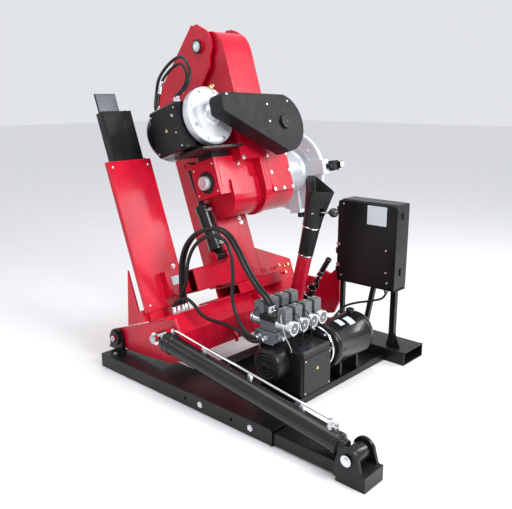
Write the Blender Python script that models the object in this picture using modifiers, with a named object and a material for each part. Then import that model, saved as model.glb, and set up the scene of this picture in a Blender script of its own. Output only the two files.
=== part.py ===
"""Truck tyre changer: a two-beam base, a tilting swing frame with a telescopic mast and a
column, a hanging chuck arm, a hydraulic power unit, a control pedestal and a switch cabinet.
Metres, +Z up. X runs along the base beams, Y across them."""

import math

import bmesh
import bpy
from mathutils import Matrix, Vector

# ---------------------------------------------------------------- driving dimensions
CENTRE = Vector((0.7615, 0.0250, 0.0))  # bounding-box centre, measured from the swing axis

BASE_HALF = 0.7075  # half the width over the two beams
BEAM_W, BEAM_H, BEAM_WALL = 0.22, 0.08, 0.006
BEAM_X0, BEAM_X1 = -0.02, 1.31
RIGHT_BEAM_X1 = 1.295
EXT_W, EXT_H, EXT_X1 = 0.105, 0.06, 1.69

AXLE_Z = 0.153  # height of the swing axis over the floor
TILT = math.radians(20.8)  # swing frame, leaning back at rest
EAR_Y, EAR_T, EAR_R = -0.6135, 0.02, 0.055
ARM_PLATE_Y, PLATE_T = 0.5885, 0.018

CYL_Y = -0.6585  # tilt cylinder, across the machine
TILT_PIN_U, TILT_PIN_W = 0.493, -0.035  # rod pin, in the swing frame
CLEVIS_X, CLEVIS_Z = 1.73, 0.115
TILT_BARREL_R, TILT_ROD_R = 0.050, 0.025

SLEEVE_U, SLEEVE_Y0, SLEEVE_Y1 = 0.345, -0.5885, -0.2845
SLEEVE_W0, SLEEVE_W1, SLEEVE_T = 0.10, 0.975, 0.012
MAST_U0, MAST_U1, MAST_Y0, MAST_Y1 = 0.270, 0.330, -0.5285, -0.3185
MAST_W0, MAST_W1 = 0.30, 1.265

COL_U0, COL_U1, COL_Y0, COL_Y1 = 0.215, 0.450, 0.0045, 0.2675
COL_W0, COL_W1, COL_WALL = 0.12, 1.18, 0.010
PIVOT_U, PIVOT_W = 0.705, 1.520  # chuck-arm pin, in the swing frame
LIFT_L = (0.475, 0.310)  # lift cylinder's lower pin, in the swing frame
LIFT_U = (0.425, 0.880)  # and its upper pin, at rest
LIFT_Y, LIFT_BARREL_R, LIFT_ROD_R = -0.0785, 0.045, 0.018

ARM_LEAN = math.radians(18.0)  # chuck arm, leaning back at rest
ARM_FRONT, ARM_BACK = 0.165, -0.075
ARM_Y0, ARM_Y1 = 0.0215, 0.2505
SPINDLE_U, SPINDLE_W = -0.072, -0.789  # spindle axis, in the arm
WORM_Y, WORM_W = 0.2635, -0.541  # worm shaft, in the arm
IDLER_U, IDLER_W = -0.060, -0.6395  # idler shaft, in the arm
CASE_BACK, CASE_FRONT, CASE_TURN_W = -0.205, 0.077, -0.869  # gearbox, in the arm
MOTOR_Y, MOTOR_W, MOTOR_R = -0.150, -0.440, 0.140
GUARD_U0, GUARD_U1 = 0.175, 0.280
CHUCK_R, CHUCK_TURN = 0.258, math.radians(7.0)
JAW_R = 0.280

PACK_X, PACK_Z, PACK_R = 1.00, 0.205, 0.090  # pump motor
TANK_X, TANK_Z, TANK_R = 1.08, 0.223, 0.125  # oil tank
VALVE_YS = (-0.336, -0.257, -0.178, -0.099)
VALVE_Z = 0.420

POST_FOOT, POST_TOP = Vector((0.585, 0.270, 0.0666)), Vector((0.722, 0.270, 0.624))
BOOT_SEAM = Vector((0.763, 0.270, 0.801))
MOUTH = [  # the boot's slanted mouth, corner by corner
    Vector((0.886, 0.337, 0.997)),
    Vector((0.720, 0.346, 1.088)),
    Vector((0.712, 0.269, 1.070)),
    Vector((0.801, 0.206, 1.011)),
]
CAB_X0, CAB_X1, CAB_Y0, CAB_Y1 = 0.800, 1.190, 0.515, 0.650
CAB_Z0, CAB_Z1 = 0.430, 0.938
GAP = 0.0006

# ---------------------------------------------------------------- materials
COLOURS = {
    "red_paint": ((0.60, 0.012, 0.035, 1), 0.28, 0.0),
    "black_paint": ((0.018, 0.020, 0.022, 1), 0.38, 0.0),
    "grey_paint": ((0.075, 0.085, 0.095, 1), 0.42, 0.0),
    "steel": ((0.55, 0.56, 0.58, 1), 0.28, 1.0),
    "cast_aluminium": ((0.72, 0.75, 0.78, 1), 0.45, 0.9),
    "chrome_steel": ((0.82, 0.83, 0.85, 1), 0.10, 1.0),
    "rubber": ((0.014, 0.014, 0.015, 1), 0.55, 0.0),
    "grey_plastic": ((0.20, 0.22, 0.23, 1), 0.45, 0.0),
    "bronze": ((0.45, 0.27, 0.10, 1), 0.35, 1.0),
}


def material(name):
    """The material of this name, made on first use."""
    found = bpy.data.materials.get(name)
    if found:
        return found
    colour, rough, metal = COLOURS[name]
    made = bpy.data.materials.new(name)
    made.use_nodes = True
    shader = made.node_tree.nodes["Principled BSDF"]
    shader.inputs["Base Color"].default_value = colour
    shader.inputs["Roughness"].default_value = rough
    shader.inputs["Metallic"].default_value = metal
    return made


# ---------------------------------------------------------------- scene and frames
for old in list(bpy.data.objects):
    bpy.data.objects.remove(old)

PARTS = bpy.data.collections.new("truck_tire_changer")
CUTTERS = bpy.data.collections.new("cutters")
for group in (PARTS, CUTTERS):
    bpy.context.scene.collection.children.link(group)
CUTTERS.hide_render = True


def frame(name, place, lean=0.0, parent=None):
    """An empty on a joint's axis; its X and Z lean back by the given angle."""
    empty = bpy.data.objects.new(name, None)
    empty.location = place
    empty.rotation_euler = (0, -lean, 0)
    empty.parent = parent
    PARTS.objects.link(empty)
    return empty


MACHINE = frame("machine_datum", -CENTRE)
SWING = frame("swing_axis", (0, 0, AXLE_Z), TILT, MACHINE)
ARM = frame("arm_axis", (PIVOT_U, 0, PIVOT_W), ARM_LEAN - TILT, SWING)
MAST = frame("mast_axis", (0.300, -0.4235, 0.6), 0, SWING)
CLEVIS = frame("clevis_axis", (CLEVIS_X, CYL_Y, CLEVIS_Z), 0, MACHINE)
ROD_PIN = frame("rod_pin_axis", (TILT_PIN_U, CYL_Y, TILT_PIN_W), 0, SWING)
LIFT_LOW = frame("lift_lower_axis", (LIFT_L[0], LIFT_Y, LIFT_L[1]), 0, SWING)
LIFT_TOP = frame("lift_upper_axis", (LIFT_U[0], LIFT_Y, LIFT_U[1]), 0, SWING)
SPINDLE = frame("spindle_axis", (SPINDLE_U, 0, SPINDLE_W), 0, ARM)
IDLER = frame("idler_axis", (IDLER_U, 0, IDLER_W), 0, ARM)
WORM = frame("worm_axis", (0, WORM_Y, WORM_W), 0, ARM)
DRIVE = frame("motor_axis", (0, MOTOR_Y, MOTOR_W), 0, ARM)
HINGE = frame("door_axis", (CAB_X0 - 0.012, CAB_Y0 - 0.012, 0), 0, MACHINE)
LEVER = frame("lever_axis", (0.800, 0.270, 0.885), 0, MACHINE)
HAND = frame("hand_lever_axis", (0.728, 0.360, 0.424), 0, MACHINE)


# ---------------------------------------------------------------- modelling helpers
def settle(obj, look, parent, group=PARTS):
    """Puts an object in its collection, under its frame, with its material."""
    obj.data.materials.append(material(look))
    obj.parent = parent
    group.objects.link(obj)
    if group is CUTTERS:
        obj.hide_render = True
        obj.display_type = "WIRE"
    return obj


def from_bmesh(name, bm, look, parent, group=PARTS, smooth=False):
    bmesh.ops.recalc_face_normals(bm, faces=bm.faces)
    mesh = bpy.data.meshes.new(name)
    bm.to_mesh(mesh)
    bm.free()
    if smooth:
        mesh.shade_smooth()
        mesh.set_sharp_from_angle(angle=math.radians(35))
    return settle(bpy.data.objects.new(name, mesh), look, parent, group)


def block(name, low, high, look, parent, group=PARTS, edge=0.0):
    """A box between two corners, with its edges rounded by edge."""
    low, high = Vector(low), Vector(high)
    bm = bmesh.new()
    size = Matrix.Diagonal((*(high - low), 1))
    bmesh.ops.create_cube(bm, size=1, matrix=Matrix.Translation((low + high) / 2) @ size)
    obj = from_bmesh(name, bm, look, parent, group)
    if edge:
        rounding = obj.modifiers.new("edges", "BEVEL")
        rounding.width = edge
        rounding.segments = 1
    return obj


def rod(name, start, end, radius, look, parent, group=PARTS, sides=20, tip=None):
    """A round bar or cone from start to end."""
    start, end = Vector(start), Vector(end)
    axis = end - start
    turn = axis.to_track_quat("Z", "Y").to_matrix().to_4x4()
    bm = bmesh.new()
    bmesh.ops.create_cone(
        bm,
        cap_ends=True,
        segments=sides,
        radius1=radius,
        radius2=radius if tip is None else tip,
        depth=axis.length,
        matrix=Matrix.Translation((start + end) / 2) @ turn,
    )
    return from_bmesh(name, bm, look, parent, group, smooth=True)


def mesh_of(curve_object, name, look, parent, group=PARTS):
    """The curve's solid as a mesh object, with its caps welded on."""
    bpy.context.view_layer.update()
    graph = bpy.context.evaluated_depsgraph_get()
    mesh = bpy.data.meshes.new_from_object(curve_object.evaluated_get(graph))
    mesh.transform(curve_object.matrix_local)
    mesh.materials.clear()
    bm = bmesh.new()
    bm.from_mesh(mesh)
    bmesh.ops.remove_doubles(bm, verts=bm.verts, dist=0.00001)
    bpy.data.objects.remove(curve_object)
    return from_bmesh(name, bm, look, parent, group)


def plate(name, outline, y0, y1, look, parent, group=PARTS, edge=0.0):
    """A flat plate in the X-Z plane with this outline, from y0 to y1."""
    curve = bpy.data.curves.new(name + "_outline", "CURVE")
    curve.dimensions = "2D"
    curve.fill_mode = "BOTH"
    curve.extrude = abs(y1 - y0) / 2
    line = curve.splines.new("POLY")
    line.points.add(len(outline) - 1)
    for point, (x, z) in zip(line.points, outline):
        point.co = (x, z, 0, 1)
    line.use_cyclic_u = True
    guide = bpy.data.objects.new(name + "_outline", curve)
    guide.matrix_world = Matrix.Translation((0, (y0 + y1) / 2, 0)) @ Matrix.Rotation(
        math.pi / 2, 4, "X"
    )
    bpy.context.scene.collection.objects.link(guide)
    obj = mesh_of(guide, name, look, parent, group)
    if edge:
        rounding = obj.modifiers.new("edges", "BEVEL")
        rounding.width = edge
        rounding.segments = 1
    return obj


def turned(name, profile, look, parent, place=(0, 0, 0), axis="Z", steps=28, ring=False, group=PARTS):
    """A turned shape. The profile lists (radius, height) from the top down its outer side."""
    mesh = bpy.data.meshes.new(name)
    count = len(profile)
    edges = [(i, i + 1) for i in range(count - 1)]
    if ring:
        edges.append((count - 1, 0))
    mesh.from_pydata([(r, 0, h) for r, h in profile], edges, [])
    obj = settle(bpy.data.objects.new(name, mesh), look, parent, group)
    obj.location = place
    if axis == "Y":
        obj.rotation_euler = (-math.pi / 2, 0, 0)
    if axis == "X":
        obj.rotation_euler = (0, math.pi / 2, 0)
    screw = obj.modifiers.new("turn", "SCREW")
    screw.steps = steps
    screw.render_steps = steps
    screw.use_merge_vertices = True
    screw.merge_threshold = 0.00001
    screw.use_smooth_shade = False
    return obj


def tube(name, points, radius, look, parent, resolution=2):
    """A round tube along a smooth curve through the points."""
    curve = bpy.data.curves.new(name, "CURVE")
    curve.dimensions = "3D"
    curve.bevel_depth = radius
    curve.bevel_resolution = resolution
    curve.use_fill_caps = True
    fine = smooth_path(points)
    line = curve.splines.new("POLY")
    line.points.add(len(fine) - 1)
    for point, place in zip(line.points, fine):
        point.co = (*place, 1)
    return settle(bpy.data.objects.new(name, curve), look, parent)


def smooth_path(points, step=0.045):
    """Points read at an even step from a Catmull-Rom curve through the route's points."""
    route = [Vector(p) for p in points]
    route = [2 * route[0] - route[1], *route, 2 * route[-1] - route[-2]]
    dense = []
    for a, b, c, d in zip(route, route[1:], route[2:], route[3:]):
        for k in range(12):
            t = k / 12
            flow = (c - a) * t + (2 * a - 5 * b + 4 * c - d) * t**2 + (3 * b - a - 3 * c + d) * t**3
            dense.append(b + flow / 2)
    dense.append(route[-2])
    length = sum((q - p).length for p, q in zip(dense, dense[1:]))
    count = max(4, round(length / step))
    fine = [dense[0], dense[1]]
    walked = 0.0
    for p, q in zip(dense, dense[1:]):
        walked += (q - p).length
        if walked >= length / count * (len(fine) - 1) and len(fine) <= count:
            fine.append(q)
    fine += [dense[-2], dense[-1]]
    return fine


def boolean(obj, other, operation):
    change = obj.modifiers.new(operation.lower() + "_" + other.name, "BOOLEAN")
    change.object = other
    change.operation = operation
    change.solver = "EXACT"
    return obj


def cut(obj, *others):
    for other in others:
        boolean(obj, other, "DIFFERENCE")
    return obj


def join(obj, *others):
    for other in others:
        boolean(obj, other, "UNION")
    return obj


def helper(kind, name, *args, parent, **options):
    """A cutter or a joined helper, kept out of the part."""
    return kind(name, *args, "steel", parent, CUTTERS, **options)


def arc(cx, cy, radius, start, end, steps):
    """Points on an arc, in degrees."""
    turns = [math.radians(start + (end - start) * i / steps) for i in range(steps + 1)]
    return [(cx + radius * math.cos(a), cy + radius * math.sin(a)) for a in turns]


def hollow(name, low, high, wall, look, parent, open_ends="X", edge=0.004):
    """A rectangular tube, open along the named axis."""
    tube_box = block(name, low, high, look, parent, edge=edge)
    inner_low = [v + wall for v in low]
    inner_high = [v - wall for v in high]
    axis = "XYZ".index(open_ends)
    inner_low[axis] = low[axis] - 0.02
    inner_high[axis] = high[axis] + 0.02
    return cut(tube_box, helper(block, name + "_bore", inner_low, inner_high, parent=parent))


# ---------------------------------------------------------------- base
def beams():
    """The two base beams, and the welded tray with its rear crossmember between them."""
    low, high = (BEAM_X0, -BASE_HALF, 0), (BEAM_X1, -BASE_HALF + BEAM_W, BEAM_H)
    left = hollow("left_beam", low, high, BEAM_WALL, "black_paint", MACHINE)
    for x in (0.72, 1.05):
        ends = [(x, y, 0.042) for y in (-BASE_HALF - 0.01, -0.69)]
        cut(left, helper(rod, f"lock_hole_{x}", *ends, 0.009, parent=MACHINE, sides=12))
    low, high = (BEAM_X0, BASE_HALF - BEAM_W, 0), (RIGHT_BEAM_X1, BASE_HALF, BEAM_H)
    hollow("right_beam", low, high, BEAM_WALL, "black_paint", MACHINE)
    inner = BASE_HALF - BEAM_W - GAP
    low, high = (0.545, -inner, 0.004), (0.625, inner, 0.066)
    tray = hollow("base_tray", low, high, 0.005, "black_paint", MACHINE, "Y")
    sheet = helper(block, "tray_sheet", (0.6205, -inner, 0.004), (1.165, inner, 0.012), parent=MACHINE)
    lip = helper(block, "tray_lip", (1.155, -inner, 0.004), (1.165, inner, 0.040), parent=MACHINE)
    join(tray, sheet, lip)


def extension():
    """The telescopic leg in the left beam, with its end block and the cylinder's clevis."""
    y0 = -BASE_HALF + BEAM_WALL + 0.001
    low = BEAM_WALL + 0.001
    leg = hollow(
        "left_extension", (0.60, y0, low), (EXT_X1, y0 + EXT_W, low + EXT_H), 0.005, "black_paint", MACHINE, edge=0.003
    )
    foot = helper(block, "end_block", (1.676, -0.7265, 0), (1.820, -0.5905, 0.070), parent=MACHINE)
    join(leg, foot)
    outline = [(1.662, 0.02), (1.800, 0.02), (1.800, 0.065)]
    outline += arc(CLEVIS_X, CLEVIS_Z, 0.053, 5, 150, 8)
    outline += [(1.664, 0.065)]
    for side, y in (("outer", -0.7265), ("inner", -0.6065)):
        join(leg, helper(plate, f"clevis_{side}", outline, y, y + 0.016, parent=MACHINE))
    ends = [(CLEVIS_X, y, CLEVIS_Z) for y in (-0.735, -0.582)]
    pin = helper(rod, "clevis_pin", *ends, 0.0125, parent=MACHINE, sides=20)
    join(leg, pin)


def pivot_ears():
    """The two ears that carry the swing axis, on the beams' far ends."""
    for name, side in (("left_pivot_ear", -1), ("right_pivot_ear", 1)):
        outer = side * abs(EAR_Y)
        inner = side * (abs(EAR_Y) - EAR_T)
        z = AXLE_Z
        outline = [(-0.062, BEAM_H + GAP), (0.062, BEAM_H + GAP)] + arc(0, z, EAR_R, 0, 180, 12)
        ear = plate(name, outline, min(outer, inner), max(outer, inner), "black_paint", MACHINE)
        boss = helper(rod, name + "_boss", (0, inner, z), (0, outer + side * 0.012, z), 0.036, parent=MACHINE)
        join(ear, boss)
        bore = helper(
            rod, name + "_bore", (0, inner - side * 0.02, z), (0, outer + side * 0.03, z), 0.0208, parent=MACHINE
        )
        cut(ear, bore)


# ---------------------------------------------------------------- tilt cylinder
def tilt_cylinder():
    """Barrel on the clevis, rod on the swing frame's pin, in line at rest."""
    swing_to_machine = Matrix.Translation((0, 0, AXLE_Z)) @ Matrix.Rotation(-TILT, 4, "Y")
    pin = swing_to_machine @ Vector((TILT_PIN_U, CYL_Y, TILT_PIN_W))
    reach = pin - Vector((CLEVIS_X, CYL_Y, CLEVIS_Z))
    along = reach.normalized()
    length = reach.length
    barrel = rod("tilt_barrel", along * 0.078, along * (length - 0.060), TILT_BARREL_R, "black_paint", CLEVIS, sides=32)
    gland = helper(rod, "tilt_gland", along * (length - 0.115), along * (length - 0.056), 0.0545, parent=CLEVIS, sides=32)
    eye = helper(rod, "tilt_eye", (0, -0.040, 0), (0, 0.040, 0), 0.040, parent=CLEVIS)
    bore = helper(rod, "tilt_bore", along * 0.110, along * (length + 0.02), 0.036, parent=CLEVIS)
    eye_bore = helper(rod, "tilt_eye_bore", (0, -0.05, 0), (0, 0.05, 0), 0.0135, parent=CLEVIS, sides=20)
    neck = helper(rod, "tilt_neck", (0, 0, 0), along * 0.10, 0.026, parent=CLEVIS)
    join(barrel, gland, eye, neck)
    cut(barrel, bore, eye_bore)
    back = ROD_PIN_TURN @ -along
    shaft = rod("tilt_rod", back * 0.02, back * (length - 0.16), TILT_ROD_R, "chrome_steel", ROD_PIN)
    head = helper(rod, "tilt_piston", back * (length - 0.19), back * (length - 0.15), 0.026, parent=ROD_PIN)
    knuckle = helper(rod, "tilt_knuckle", (0, -0.034, 0), (0, 0.034, 0), 0.034, parent=ROD_PIN)
    hole = helper(rod, "tilt_knuckle_bore", (0, -0.05, 0), (0, 0.05, 0), 0.0166, parent=ROD_PIN, sides=20)
    join(shaft, head, knuckle)
    cut(shaft, hole)
    rise = Vector((0, 0.0, 1)) * 0.074 + Vector((0, 0.018, 0))
    pipe = [
        along * 0.112 + Vector((0, 0.018, 0.0530)),
        along * 0.110 + rise * 0.9,
        along * 0.130 + rise,
        along * 0.30 + rise,
        along * (length - 0.30) + rise,
        along * (length - 0.115) + rise,
        along * (length - 0.090) + rise * 0.9,
        along * (length - 0.088) + Vector((0, 0.018, 0.0580)),
    ]
    tube("tilt_pipe", pipe, 0.006, "chrome_steel", CLEVIS)


ROD_PIN_TURN = Matrix.Rotation(TILT, 4, "Y")


# ---------------------------------------------------------------- swing frame
def arm_plates():
    """The two swing plates, their trunnions, and the tilt cylinder's pin on the left one."""
    rear = arc(0, 0, 0.052, 250, 90, 8) + [(0.30, 0.046), (0.56, 0.036)]
    outline = rear + [(0.57, -0.06), (0.53, -0.195), (0.43, -0.197), (0.10, -0.098)]
    left = plate("left_arm_plate", outline, -ARM_PLATE_Y, -ARM_PLATE_Y + PLATE_T, "red_paint", SWING)
    wide = rear + [(0.66, -0.005), (0.705, 0.045), (0.745, 0.016), (0.786, 0.034), (0.815, 0.034)]
    wide += [(0.800, -0.040), (0.760, -0.165), (0.686, -0.236), (0.50, -0.215), (0.43, -0.197), (0.10, -0.098)]
    right = plate("right_arm_plate", wide, ARM_PLATE_Y - PLATE_T, ARM_PLATE_Y, "red_paint", SWING)
    pin_u, pin_w = TILT_PIN_U, TILT_PIN_W
    pin = helper(rod, "tilt_pin", (pin_u, -0.705, pin_w), (pin_u, -0.580, pin_w), 0.016, parent=SWING, sides=20)
    spacer = helper(rod, "tilt_pin_boss", (pin_u, -0.620, pin_w), (pin_u, -0.580, pin_w), 0.030, parent=SWING)
    join(left, spacer, pin)
    for side, obj, sign in (("left", left, -1), ("right", right, 1)):
        inner = sign * (ARM_PLATE_Y - PLATE_T - 0.012)
        stub = helper(rod, side + "_trunnion", (0, inner, 0), (0, sign * 0.634, 0), 0.020, parent=SWING)
        join(obj, stub)


def torque_box():
    """The folded cross beam between the arm plates, low in the swing frame."""
    outline = [(0.30, 0.052), (0.455, 0.052), (0.540, -0.055), (0.500, -0.190), (0.30, -0.130)]
    half = ARM_PLATE_Y - PLATE_T - GAP
    box = plate("torque_box", outline, -half, half, "red_paint", SWING)
    inner = [(0.312, 0.042), (0.450, 0.042), (0.528, -0.055), (0.492, -0.176), (0.312, -0.118)]
    cut(box, helper(plate, "torque_box_bore", inner, -half - 0.02, half + 0.02, parent=SWING))
    lug = arc(0.505, -0.030, 0.055, -70, 110, 8) + [(0.44, 0.03), (0.46, -0.12)]
    for index, y in enumerate((0.090, 0.175)):
        join(box, helper(plate, f"round_lug_{index}", lug, y, y + 0.022, parent=SWING))
    hook = [(0.505, -0.10), (0.550, -0.12), (0.565, -0.165), (0.553, -0.200), (0.542, -0.198)]
    hook += [(0.550, -0.165), (0.535, -0.14), (0.49, -0.14)]
    return join(box, helper(plate, "hook_tab", hook, -0.19, -0.175, parent=SWING))


def cross_beam():
    """The upper cross beam, from the mast sleeve to the column, and the flat tube below it."""
    beam = block("cross_beam", (0.25, -0.2835, 0.138), (0.455, 0.0035, 0.275), "red_paint", SWING, edge=0.004)
    inner = helper(block, "cross_beam_bore", (0.258, -0.30, 0.146), (0.447, 0.02, 0.267), parent=SWING)
    cut(beam, inner)
    low = helper(block, "foot_tube", (0.30, -0.02, 0.0535), (0.515, 0.42, 0.1195), parent=SWING)
    low_bore = helper(block, "foot_tube_bore", (0.308, -0.05, 0.060), (0.507, 0.45, 0.112), parent=SWING)
    web = helper(block, "foot_web", (0.300, -0.020, 0.1100), (0.310, 0.003, 0.142), parent=SWING)
    lug_y0, pin_y1 = -0.1335, 0.0030
    join(beam, low)
    cut(beam, low_bore)
    join(beam, web, wing())
    lug = arc(*LIFT_L, 0.034, -60, 200, 10) + [(0.430, 0.262), (0.450, 0.262)]
    for name, y in (("outer", lug_y0), ("inner", -0.0365)):
        join(beam, helper(plate, f"lift_lug_{name}", lug, y, y + 0.012, parent=SWING))
    ends = [(LIFT_L[0], y, LIFT_L[1]) for y in (lug_y0 - 0.006, -0.016)]
    return join(beam, helper(rod, "lift_lower_pin", *ends, 0.011, parent=SWING, sides=16))


def sleeve():
    """Guide of the telescopic mast: a wide front plate with lips, and a box behind it."""
    y0, y1 = SLEEVE_Y0, SLEEVE_Y1
    front = block(
        "mast_sleeve", (SLEEVE_U - SLEEVE_T, y0, SLEEVE_W0), (SLEEVE_U, y1, SLEEVE_W1), "red_paint", SWING, edge=0.003
    )
    lips = [
        helper(block, "sleeve_lip_left", (SLEEVE_U - 0.028, y0, SLEEVE_W0), (SLEEVE_U - 0.006, y0 + 0.008, SLEEVE_W1), parent=SWING),
        helper(block, "sleeve_lip_right", (SLEEVE_U - 0.028, y1 - 0.008, SLEEVE_W0), (SLEEVE_U - 0.006, y1, SLEEVE_W1), parent=SWING),
    ]
    wall = 0.008
    box = helper(
        block,
        "sleeve_box",
        (MAST_U0 - 0.003 - wall, MAST_Y0 - 0.003 - wall, SLEEVE_W0 + 0.04),
        (SLEEVE_U - 0.004, MAST_Y1 + 0.003 + wall, SLEEVE_W1 - 0.02),
        parent=SWING,
    )
    run = helper(
        block,
        "sleeve_run",
        (MAST_U0 - 0.003, MAST_Y0 - 0.003, SLEEVE_W0 - 0.05),
        (MAST_U1 + 0.002, MAST_Y1 + 0.003, SLEEVE_W1 + 0.05),
        parent=SWING,
    )
    join(front, *lips, box)
    cut(front, run)
    fin = [(0.257, 0.36), (0.12, 0.052), (0.257, 0.052)]
    join(front, helper(plate, "sleeve_fin", fin, SLEEVE_Y0 + 0.002, SLEEVE_Y0 + 0.012, parent=SWING))
    ledge = helper(block, "sleeve_ledge", (0.20, -0.5655, 0.0535), (0.333, -0.2845, 0.102), parent=SWING)
    join(front, ledge, helper(block, "sleeve_fin_foot", (0.25, SLEEVE_Y0 + 0.001, 0.052), (0.30, -0.55, 0.12), parent=SWING))
    low, high = (SLEEVE_U - 0.006, -0.440, 0.150), (SLEEVE_U + 0.050, -0.2855, 0.300)
    return join(front, helper(block, "sleeve_clamp", low, high, parent=SWING))


def column():
    """The column: a wide rectangular tube."""
    low, high = (COL_U0, COL_Y0, COL_W0), (COL_U1, COL_Y1, COL_W1)
    return hollow("column_box", low, high, COL_WALL, "red_paint", SWING, "Z")


def ears():
    """The column's two side plates, which lean forward to the arm's pin."""
    front = [(COL_U1 + 0.004, 1.02), (COL_U1 + 0.004, 1.185), (0.606, 1.286), (0.742, 1.378)]
    front += arc(PIVOT_U, PIVOT_W, 0.106, -55, 48, 8)
    rear = [(0.689, 1.657), (0.520, 1.559), (0.205, 1.376), (0.205, 1.02)]
    tips = {"left": [(0.730, 1.645), (0.703, 1.644)], "right": [(0.735, 1.630), (0.715, 1.632)]}
    for side, y0 in (("left", -0.0085), ("right", COL_Y1 + GAP)):
        name = f"column_{side}_ear"
        end = rear if side == "left" else [(0.700, 1.642), *rear[1:]]
        ear = plate(name, front + tips[side] + end, y0, y0 + 0.012 + GAP, "red_paint", SWING)
        y_mid = y0 + 0.006
        out = y_mid + (-0.016 if side == "left" else 0.016)
        boss = helper(rod, name + "_boss", (PIVOT_U, y_mid, PIVOT_W), (PIVOT_U, out, PIVOT_W), 0.042, parent=SWING)
        hole_ends = [(PIVOT_U, y, PIVOT_W) for y in (y0 - 0.05, y0 + 0.07)]
        join(ear, boss)
        cut(ear, helper(rod, name + "_hole", *hole_ends, 0.0205, parent=SWING))
    back = [(0.2165, 1.150), (0.2245, 1.150), (0.2245, 1.372), (0.500, 1.534), (0.494, 1.545), (0.2165, 1.382)]
    name = "column_back"
    return join(column(), helper(plate, name, back, COL_Y0 + 0.002, COL_Y1 - 0.002, parent=SWING))


def wing():
    """The gusset box from the column to the right arm plate."""
    line = [(0.2685, 0.305), (0.5680, 0.177), (0.5680, 0.0540), (0.4100, 0.0540), (0.4100, 0.1170), (0.2685, 0.1170)]
    bm = bmesh.new()
    face = bm.faces.new([bm.verts.new((0.448, y, w)) for y, w in line])
    grown = bmesh.ops.extrude_face_region(bm, geom=[face])
    moved = [item for item in grown["geom"] if isinstance(item, bmesh.types.BMVert)]
    bmesh.ops.translate(bm, verts=moved, vec=(-0.14, 0, 0))
    return from_bmesh("wing", bm, "steel", SWING, CUTTERS)


def mast():
    """The telescopic mast: a tube in the sleeve, closed by a head with an upright plate."""
    x0, y0 = MAST_U0 - 0.300, MAST_Y0 + 0.4235
    x1, y1 = MAST_U1 - 0.300, MAST_Y1 + 0.4235
    top = MAST_W1 - 0.6
    tube_box = hollow("mast_tube", (x0, y0, MAST_W0 - 0.6), (x1, y1, top), 0.006, "black_paint", MAST, "Z", edge=0.006)
    head = helper(block, "mast_head", (x0 + 0.002, y0 + 0.002, top - 0.004), (x1 - 0.002, y1 - 0.002, top + 0.008), parent=MAST)
    flag = helper(block, "mast_flag", (-0.004, -0.100, top + 0.004), (0.004, 0.040, top + 0.120), parent=MAST)
    return join(tube_box, head, flag)


# ---------------------------------------------------------------- lift cylinder
def lift_cylinder():
    """The cylinder that swings the chuck arm: barrel on its lower pin, rod on the gearbox."""
    low, top = Vector((LIFT_L[0], 0, LIFT_L[1])), Vector((LIFT_U[0], 0, LIFT_U[1]))
    along = (top - low).normalized()
    length = (top - low).length
    barrel = rod("lift_barrel", along * 0.036, along * 0.322, LIFT_BARREL_R, "black_paint", LIFT_LOW, sides=28)
    neck = helper(rod, "lift_neck", (0, 0, 0), along * 0.06, 0.024, parent=LIFT_LOW)
    eye = helper(rod, "lift_eye", (0, -0.034, 0), (0, 0.034, 0), 0.027, parent=LIFT_LOW)
    eye_bore = helper(rod, "lift_eye_bore", (0, -0.06, 0), (0, 0.06, 0), 0.0118, parent=LIFT_LOW, sides=16)
    bore = helper(rod, "lift_bore", along * 0.070, along * 0.42, 0.032, parent=LIFT_LOW)
    join(barrel, neck, eye)
    cut(barrel, bore, eye_bore)
    shaft = rod("lift_rod", along * -0.018, along * -(length - 0.130), LIFT_ROD_R, "chrome_steel", LIFT_TOP, sides=20)
    knuckle = helper(rod, "lift_knuckle", (0, -0.016, 0), (0, 0.016, 0), 0.025, parent=LIFT_TOP)
    hole = helper(rod, "lift_knuckle_bore", (0, -0.03, 0), (0, 0.03, 0), 0.0118, parent=LIFT_TOP, sides=16)
    join(shaft, knuckle)
    return cut(shaft, hole)


# ---------------------------------------------------------------- chuck arm
def arm_shell():
    """The arm: two side plates under a cover that curves over the pivot."""
    crown = [(0.164, -0.060), (0.158, -0.020), (0.140, 0.022), (0.108, 0.052), (0.062, 0.066)]
    outline = [(ARM_FRONT, -0.500), (ARM_FRONT, -0.100), *crown, (0.010, 0.062), (-0.045, 0.040)]
    outline += [(ARM_BACK, 0.0), (ARM_BACK, -0.500)]
    shell = plate("arm_shell", outline, ARM_Y0, ARM_Y1, "red_paint", ARM)
    inner = [(ARM_FRONT - 0.01, -0.53), (ARM_FRONT - 0.01, -0.10), (0.130, 0.0), (0.062, 0.050), (-0.035, 0.030)]
    inner += [(ARM_BACK + 0.01, -0.01), (ARM_BACK + 0.01, -0.53)]
    cut(shell, helper(plate, "arm_shell_bore", inner, ARM_Y0 + 0.010, ARM_Y1 - 0.010, parent=ARM))
    tube_y = (ARM_Y0 + 0.004, ARM_Y1 - 0.004)
    hub = helper(rod, "arm_hub", (0, tube_y[0], 0), (0, tube_y[1], 0), 0.032, parent=ARM)
    bore = helper(rod, "arm_hub_bore", (0, ARM_Y0 - 0.02, 0), (0, ARM_Y1 + 0.02, 0), 0.0206, parent=ARM)
    join(shell, hub)
    cut(shell, bore)
    pin = rod("arm_pivot_pin", (0, -0.0300, 0), (0, 0.3020, 0), 0.0202, "steel", ARM)
    cap = helper(rod, "arm_pivot_pin_cap", (0, -0.0300, 0), (0, -0.0200, 0), 0.030, parent=ARM)
    return join(pin, cap)


def case_outline(inset=0.0, top=-0.5006):
    """Section of the gearbox: a box with a round bottom."""
    back, front = CASE_BACK + inset, CASE_FRONT - inset
    middle, radius = (back + front) / 2, (front - back) / 2
    return [(back, top), (front, top)] + arc(middle, CASE_TURN_W, radius, 0, -180, 14)


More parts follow.
